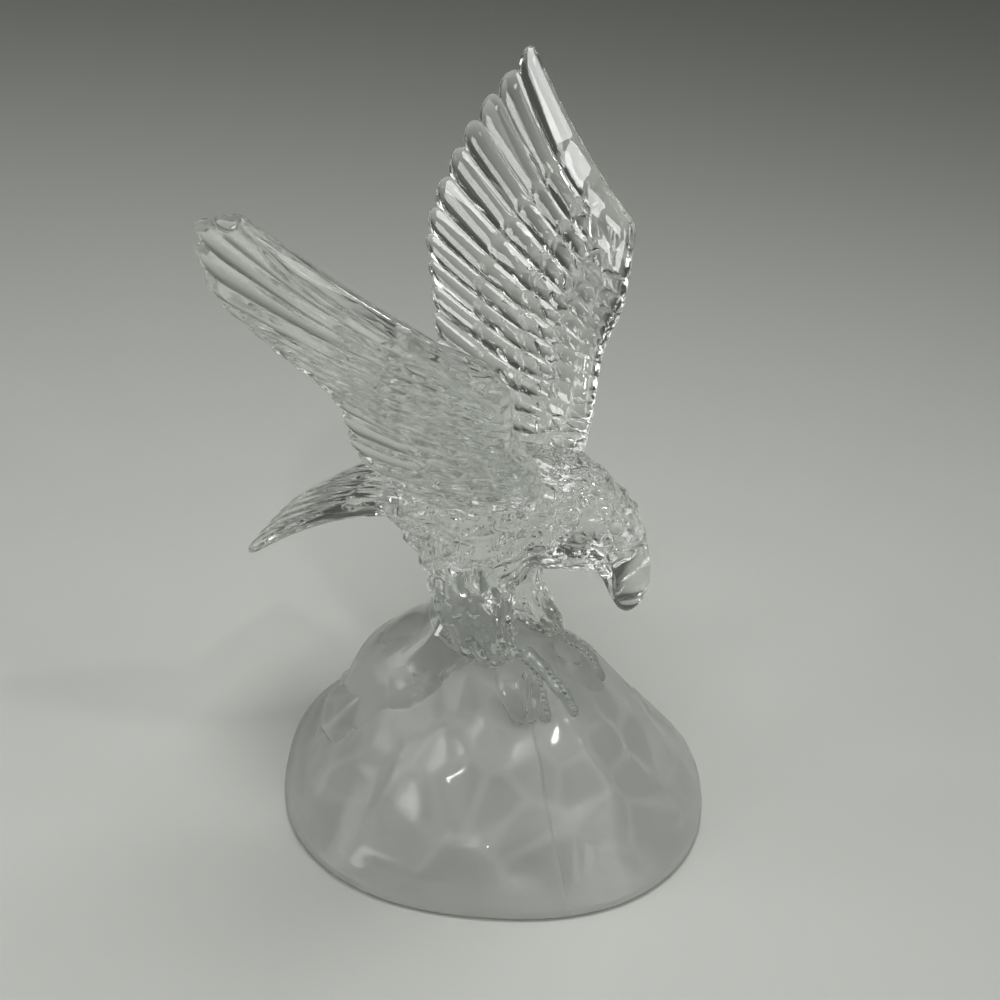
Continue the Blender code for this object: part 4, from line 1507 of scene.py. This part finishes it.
class CrystalWorks:
    """Makes the crystal's materials, with one shared group for the faint waviness of pressed glass."""

    WAVE_DETAIL = 2.0
    WAVE_DEPTH = 0.001  # in metres, at full strength
    MIX_PLAIN, MIX_HAZY, MIX_COLOUR = 6, 7, 2  # a Mix node's colour sockets: its two inputs and its output

    def __init__(self) -> None:
        """Builds the shared group."""
        self.wave = self.wave_group()

    def wave_group(self) -> bpy.types.ShaderNodeTree:
        """Builds the group that bends the surface's normal by a soft waviness in Object coordinates.

        Returns:
            The group, with inputs Scale and Strength and output Normal.
        """
        group = bpy.data.node_groups.new("glass waviness", "ShaderNodeTree")
        for name in ("Scale", "Strength"):
            group.interface.new_socket(name, in_out="INPUT", socket_type="NodeSocketFloat")
        group.interface.new_socket("Normal", in_out="OUTPUT", socket_type="NodeSocketVector")
        kinds = ("NodeGroupInput", "NodeGroupOutput", "ShaderNodeTexCoord", "ShaderNodeTexNoise", "ShaderNodeBump")
        source, sink, place, noise, bump = (group.nodes.new(kind) for kind in kinds)
        set_sockets(noise, {"Detail": self.WAVE_DETAIL})
        set_sockets(bump, {"Distance": self.WAVE_DEPTH})
        joins = (
            (place, "Object", noise, "Vector"),
            (source, "Scale", noise, "Scale"),
            (source, "Strength", bump, "Strength"),
            (noise, "Fac", bump, "Height"),
            (bump, "Normal", sink, "Normal"),
        )
        link_nodes(group, joins)
        return group

    def material(self, crystal: Crystal) -> bpy.types.Material:
        """Makes the material of a finish, see-through by plain values on its shader.

        Args:
            crystal: the finish.

        Returns:
            The material.
        """
        material = bpy.data.materials.new(crystal.name)
        material.use_nodes = True
        tree = material.node_tree
        shader = tree.nodes["Principled BSDF"]
        values = {
            "Base Color": (*crystal.colour, 1.0),
            "Roughness": crystal.roughness,
            "Metallic": 0.0,
            "IOR": crystal.index,
            "Transmission Weight": crystal.transmission,
            "Coat Weight": crystal.coat,
            "Coat Roughness": crystal.coat_roughness,
        }
        set_sockets(shader, values)
        if crystal.wave:
            wave = tree.nodes.new("ShaderNodeGroup")
            wave.node_tree = self.wave
            set_sockets(wave, {"Scale": crystal.wave_scale, "Strength": crystal.wave})
            tree.links.new(wave.outputs["Normal"], shader.inputs["Normal"])
        if crystal.haze:
            self.add_haze(tree, shader, crystal)
        return material

    def add_haze(self, tree: bpy.types.ShaderNodeTree, shader: bpy.types.Node, crystal: Crystal) -> None:
        """Makes a material rougher and paler where its surface is hazy; on the rock's pad edges the paleness is painted
        sheen.

        Args:
            tree: the material's tree.
            shader: its shader.
            crystal: the finish.
        """
        kinds = ("ShaderNodeAttribute", "ShaderNodeMath", "ShaderNodeMix")
        place, haze, tint = (tree.nodes.new(kind) for kind in kinds)
        place.attribute_name = HAZE
        haze.operation = "MULTIPLY_ADD"
        set_sockets(haze, {1: crystal.haze, 2: crystal.roughness})
        tint.data_type = "RGBA"
        tint.clamp_factor = True
        # the hazy colour is paler: frosting, and painted sheen along the rock's pad edges
        colours = {self.MIX_PLAIN: (*crystal.colour, 1.0), self.MIX_HAZY: (*crystal.haze_and_sheen_colour, 1.0)}
        set_sockets(tint, colours)
        joins = (
            (place, "Fac", haze, 0),
            (haze, "Value", shader, "Roughness"),
            (place, "Fac", tint, "Factor"),
            (tint, self.MIX_COLOUR, shader, "Base Color"),
        )
        link_nodes(tree, joins)


FINISHES = {
    Skin.CLEAR: Crystal("clear crystal", (0.93, 0.945, 0.922), 0.02, 1.0),
    Skin.ROCK: Crystal(
        "pressed crystal", (0.800, 0.817, 0.772), 0.285, 0.86, coat=0.22, wave_scale=150.0, wave=0.10, haze=0.3
    ),
    Skin.FROSTED: Crystal("frosted underside", (0.86, 0.88, 0.86), 0.7, 0.3),
}


class NodeWorks:
    """Makes the bodies that repeat along lines, with node trees built here."""

    ROUND = 2  # subdivisions of a bead

    def __init__(self, skins: Sequence[bpy.types.Material]) -> None:
        """Keeps the crystal's materials, in their order, and builds the tree."""
        self.skins = list(skins)
        self.bead_tree = self.make_bead_tree()

    def make_bead_tree(self) -> bpy.types.GeometryNodeTree:
        """Builds the tree that sets round beads evenly along every line of a wire mesh.

        Returns:
            The tree, with inputs Geometry, Apart, Half and Skin.
        """
        tree = bpy.data.node_groups.new("beads along lines", "GeometryNodeTree")
        tree.is_modifier = True
        for name, kind in (("Geometry", "Geometry"), ("Apart", "Float"), ("Half", "Float"), ("Skin", "Material")):
            tree.interface.new_socket(name, in_out="INPUT", socket_type=f"NodeSocket{kind}")
        tree.interface.new_socket("Geometry", in_out="OUTPUT", socket_type="NodeSocketGeometry")
        source, sink = tree.nodes.new("NodeGroupInput"), tree.nodes.new("NodeGroupOutput")
        kinds = ("MeshToCurve", "ResampleCurve", "MeshIcoSphere", "InstanceOnPoints", "RealizeInstances", "SetMaterial")
        curve, spaced, bead, place, real, dress = (tree.nodes.new(f"GeometryNode{kind}") for kind in kinds)
        spaced.mode = "LENGTH"
        set_sockets(bead, {"Subdivisions": self.ROUND})
        joins = (
            (source, "Geometry", curve, "Mesh"),
            (curve, "Curve", spaced, "Curve"),
            (source, "Apart", spaced, "Length"),
            (source, "Half", bead, "Radius"),
            (spaced, "Curve", place, "Points"),
            (bead, "Mesh", place, "Instance"),
            (place, "Instances", real, "Geometry"),
            (real, "Geometry", dress, "Geometry"),
            (source, "Skin", dress, "Material"),
            (dress, "Geometry", sink, "Geometry"),
        )
        link_nodes(tree, joins)
        return tree

    @staticmethod
    def grown(name: str, wire: bpy.types.Mesh, tree: bpy.types.GeometryNodeTree, values: dict) -> bpy.types.Object:
        """Runs a tree on a wire mesh and keeps the result as a plain mesh.

        Args:
            name: the object's name.
            wire: the points or lines that the tree starts from.
            tree: the tree, which ends in real geometry with its material.
            values: what each named input is set to.

        Returns:
            The object with the tree's mesh, without a modifier.
        """
        thing = placed(name, wire)
        modifier = thing.modifiers.new("grown", "NODES")
        modifier.node_group = tree
        for item in tree.interface.items_tree:
            if item.in_out == "INPUT" and item.name in values:
                modifier[item.identifier] = values[item.name]
        mesh = finished_mesh(thing)
        thing.modifiers.remove(modifier)
        thing.data = mesh
        bpy.data.meshes.remove(wire)
        LOG.info("%s: %d faces", name, len(mesh.polygons))
        return thing

    def beads(self, name: str, lines: Sequence[np.ndarray], apart: float, half: float) -> bpy.types.Object:
        """Sets beads along lines.

        Args:
            name: the object's name.
            lines: the lines, as points in order.
            apart: the distance from bead to bead.
            half: a bead's radius.

        Returns:
            The object of all beads.
        """
        wire = bpy.data.meshes.new(name)
        starts = np.cumsum([0] + [len(line) for line in lines])
        edges = [(k, k + 1) for low, high in zip(starts, starts[1:]) for k in range(low, high - 1)]
        wire.from_pydata(np.concatenate(lines).tolist(), edges, [])
        skin = self.skins[Skin.CLEAR.value]
        return self.grown(name, wire, self.bead_tree, {"Apart": apart, "Half": half, "Skin": skin})


@dataclass
class Moulding:
    """All bodies joined into one closed surface."""

    skins: list[bpy.types.Material]
    name: str = "eagle_moulding"
    underside: float = 1e-5  # what lies lower is the frosted underside

    def united(self, pieces: Sequence[bpy.types.Object]) -> bpy.types.Mesh:
        """Unites the pieces and removes them.

        Args:
            pieces: closed bodies that reach into each other.

        Returns:
            The mesh of the whole.
        """
        whole, others = pieces[0], list(pieces[1:])
        for piece in pieces:
            if not piece.data.materials:
                for skin in self.skins:
                    piece.data.materials.append(skin)
        group = bpy.data.collections.new("joined bodies")
        bpy.context.scene.collection.children.link(group)
        for piece in others:
            bpy.context.scene.collection.objects.unlink(piece)
            group.objects.link(piece)
        modifier = whole.modifiers.new("one moulding", "BOOLEAN")
        modifier.operation = "UNION"
        modifier.solver = "MANIFOLD"
        modifier.operand_type = "COLLECTION"
        modifier.collection = group
        mesh = finished_mesh(whole)
        if len(mesh.polygons) <= len(whole.data.polygons):
            raise RuntimeError("the bodies couldn't be joined")
        for piece in pieces:
            bpy.data.objects.remove(piece)
        bpy.data.collections.remove(group)
        return mesh

    def dress(self, mesh: bpy.types.Mesh) -> None:
        """Gives a mesh the moulding's materials in their order, with the frosted one on its underside.

        Args:
            mesh: the mesh, whose faces have the skins of the bodies that they come from.
        """
        places = {skin.name: number for number, skin in enumerate(self.skins)}
        of_slot = np.array([places[slot.name] if slot else 0 for slot in mesh.materials] or [0])
        skins = np.zeros(len(mesh.polygons), np.int32)
        mesh.polygons.foreach_get("material_index", skins)
        centres = np.zeros(len(mesh.polygons) * 3, np.float32)
        mesh.polygons.foreach_get("center", centres)
        skins = np.where(centres[2::3] < self.underside, Skin.FROSTED.value, of_slot[skins]).astype(np.int32)
        mesh.materials.clear()
        for skin in self.skins:
            mesh.materials.append(skin)
        mesh.polygons.foreach_set("material_index", skins)

    def join(self, pieces: Sequence[bpy.types.Object]) -> bpy.types.Object:
        """Makes the moulding.

        Args:
            pieces: its bodies, which are removed.

        Returns:
            The moulding.
        """
        mesh = self.united(pieces)
        self.dress(mesh)
        moulding = placed(self.name, mesh)
        mesh.calc_loop_triangles()
        LOG.info("crystal eagle: %d triangles", len(mesh.loop_triangles))
        return moulding


@dataclass
class Studio:
    """A pale floor, soft lights and the camera at the photo's angle."""

    # the camera: where it stands, its three axes, its lens and sensor in millimetres, and its reach in metres
    place: tuple[float, float, float] = (-0.47094, -0.17149, 0.36470)
    right: tuple[float, float, float] = (0.3770649, -0.92415005, 0.06139003)
    up: tuple[float, float, float] = (0.40428321, 0.22386256, 0.88681488)
    back: tuple[float, float, float] = (-0.83329295, -0.30956781, 0.45802907)
    lens: float = 63.612
    sensor: float = 36.0
    clip: tuple[float, float] = (0.01, 50.0)
    floor_half: float = 1.9
    floor_drop: float = 2e-4  # how far the floor lies below the moulding, so that they don't mix
    floor_colour: tuple[float, float, float, float] = (0.56, 0.575, 0.54, 1.0)
    floor_roughness: float = 0.7
    aim: tuple[float, float, float] = (0.0, 0.0, 0.1)  # what the lights point at
    room_colour: tuple[float, float, float, float] = (0.07, 0.0725, 0.068, 1.0)
    bounces: int = 22  # of light in all, and through glass
    glossy_bounces: int = 16
    noise: float = 0.08  # what adaptive sampling lets stand
    least_samples: int = 24

    # lights: name, place, size, power
    LIGHTS = (
        ("ceiling panel", (0.0, 0.0, 0.80), (0.36, 0.36), 3.15),
        ("left panel", (-0.4, 1.3, 0.8), (0.6, 0.9), 4.0),
        ("right panel", (-0.1, -1.5, 0.9), (0.4, 0.9), 3.2),
        ("lamp", (0.27, -0.70, 0.75), (0.08, 0.04), 0.55),
        ("second lamp", (-0.35, -0.42, 1.0), (0.05, 0.04), 0.9),
        ("soft box", (-0.75, 0.75, 0.65), (0.22, 0.28), 1.7),
        ("third lamp", (-0.95, 0.35, 0.55), (0.05, 0.025), 0.4),
        ("fourth lamp", (-0.60, -0.10, 1.30), (0.05, 0.025), 0.5),
        ("fifth lamp", (-0.55, -0.95, 0.60), (0.05, 0.025), 0.4),
    )

    def camera(self) -> None:
        """Sets the camera where the photo was taken from."""
        data = bpy.data.cameras.new("camera")
        data.lens, data.sensor_width = self.lens, self.sensor
        data.clip_start, data.clip_end = self.clip
        camera = placed("camera", data)
        rows = [(self.right[k], self.up[k], self.back[k], self.place[k]) for k in range(3)]
        camera.matrix_world = Matrix([*rows, (0.0, 0.0, 0.0, 1.0)])
        bpy.context.scene.camera = camera

    def floor(self) -> None:
        """Lays the pale floor."""
        bm = bmesh.new()
        drop = Matrix.Translation((0.0, 0.0, -self.floor_drop))
        bmesh.ops.create_grid(bm, x_segments=1, y_segments=1, size=self.floor_half, matrix=drop)
        mesh = bpy.data.meshes.new("floor")
        bm.to_mesh(mesh)
        bm.free()
        floor = placed("floor", mesh)
        material = bpy.data.materials.new("pale floor")
        material.use_nodes = True
        values = {"Base Color": self.floor_colour, "Roughness": self.floor_roughness}
        set_sockets(material.node_tree.nodes["Principled BSDF"], values)
        mesh.materials.append(material)

    def light(self) -> None:
        """Hangs the soft panels and sets the room's own light."""
        for name, place, size, power in self.LIGHTS:
            data = bpy.data.lights.new(name, "AREA")
            data.shape = "RECTANGLE"
            data.size, data.size_y = size
            data.energy = power
            lamp = placed(name, data)
            lamp.location = place
            lamp.rotation_euler = (Vector(self.aim) - Vector(place)).to_track_quat("-Z", "Y").to_euler()
        world = bpy.data.worlds.new("room")
        bpy.context.scene.world = world
        world.use_nodes = True
        set_sockets(world.node_tree.nodes["Background"], {"Color": self.room_colour, "Strength": 1.0})

    def build(self) -> None:
        """Sets up floor, lights and camera, and how light is traced through the glass."""
        scene = bpy.context.scene
        scene.view_settings.view_transform = "Standard"
        scene.cycles.max_bounces = self.bounces
        scene.cycles.glossy_bounces = self.glossy_bounces
        scene.cycles.transmission_bounces = self.bounces
        scene.cycles.use_adaptive_sampling = True
        scene.cycles.adaptive_threshold = self.noise
        scene.cycles.adaptive_min_samples = self.least_samples
        self.floor()
        self.light()
        self.camera()


def main() -> None:
    """Builds the crystal eagle's looks and its studio."""
    logging.basicConfig(level=logging.INFO, format="%(message)s")
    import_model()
    works = CrystalWorks()
    skins = [works.material(FINISHES[skin]) for skin in Skin]
    nodes = NodeWorks(skins)
    rock = Rock().build()
    ground = Ground(rock)
    pieces = rock + [Flare().build(), Trunk().build()]
    pieces += [Leg(Side.RIGHT, RIGHT_LEG).build(), Leg(Side.LEFT, LEFT_LEG).build()]
    pieces += [Tail("tail", Side.LEFT).build()]
    pieces += [Wing("left wing", Side.LEFT, tips=LEFT_TIPS, ahead=0.007).build()]
    pieces += [Wing("right wing", Side.RIGHT, tips=RIGHT_TIPS, hand=0.023, front_share=0.2).build()]
    pieces += Eye(Side.LEFT).build() + Eye(Side.RIGHT).build()
    pieces += Foot(Side.RIGHT, RIGHT_FOOT, RIGHT_SCUTES).build(ground, nodes)
    pieces += Foot(Side.LEFT, LEFT_FOOT, LEFT_SCUTES).build(ground, nodes)
    moulding = Moulding(skins).join(pieces)
    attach(moulding, BODY)
    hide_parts(NODE)
    Studio().build()


if __name__ == "__main__":
    main()
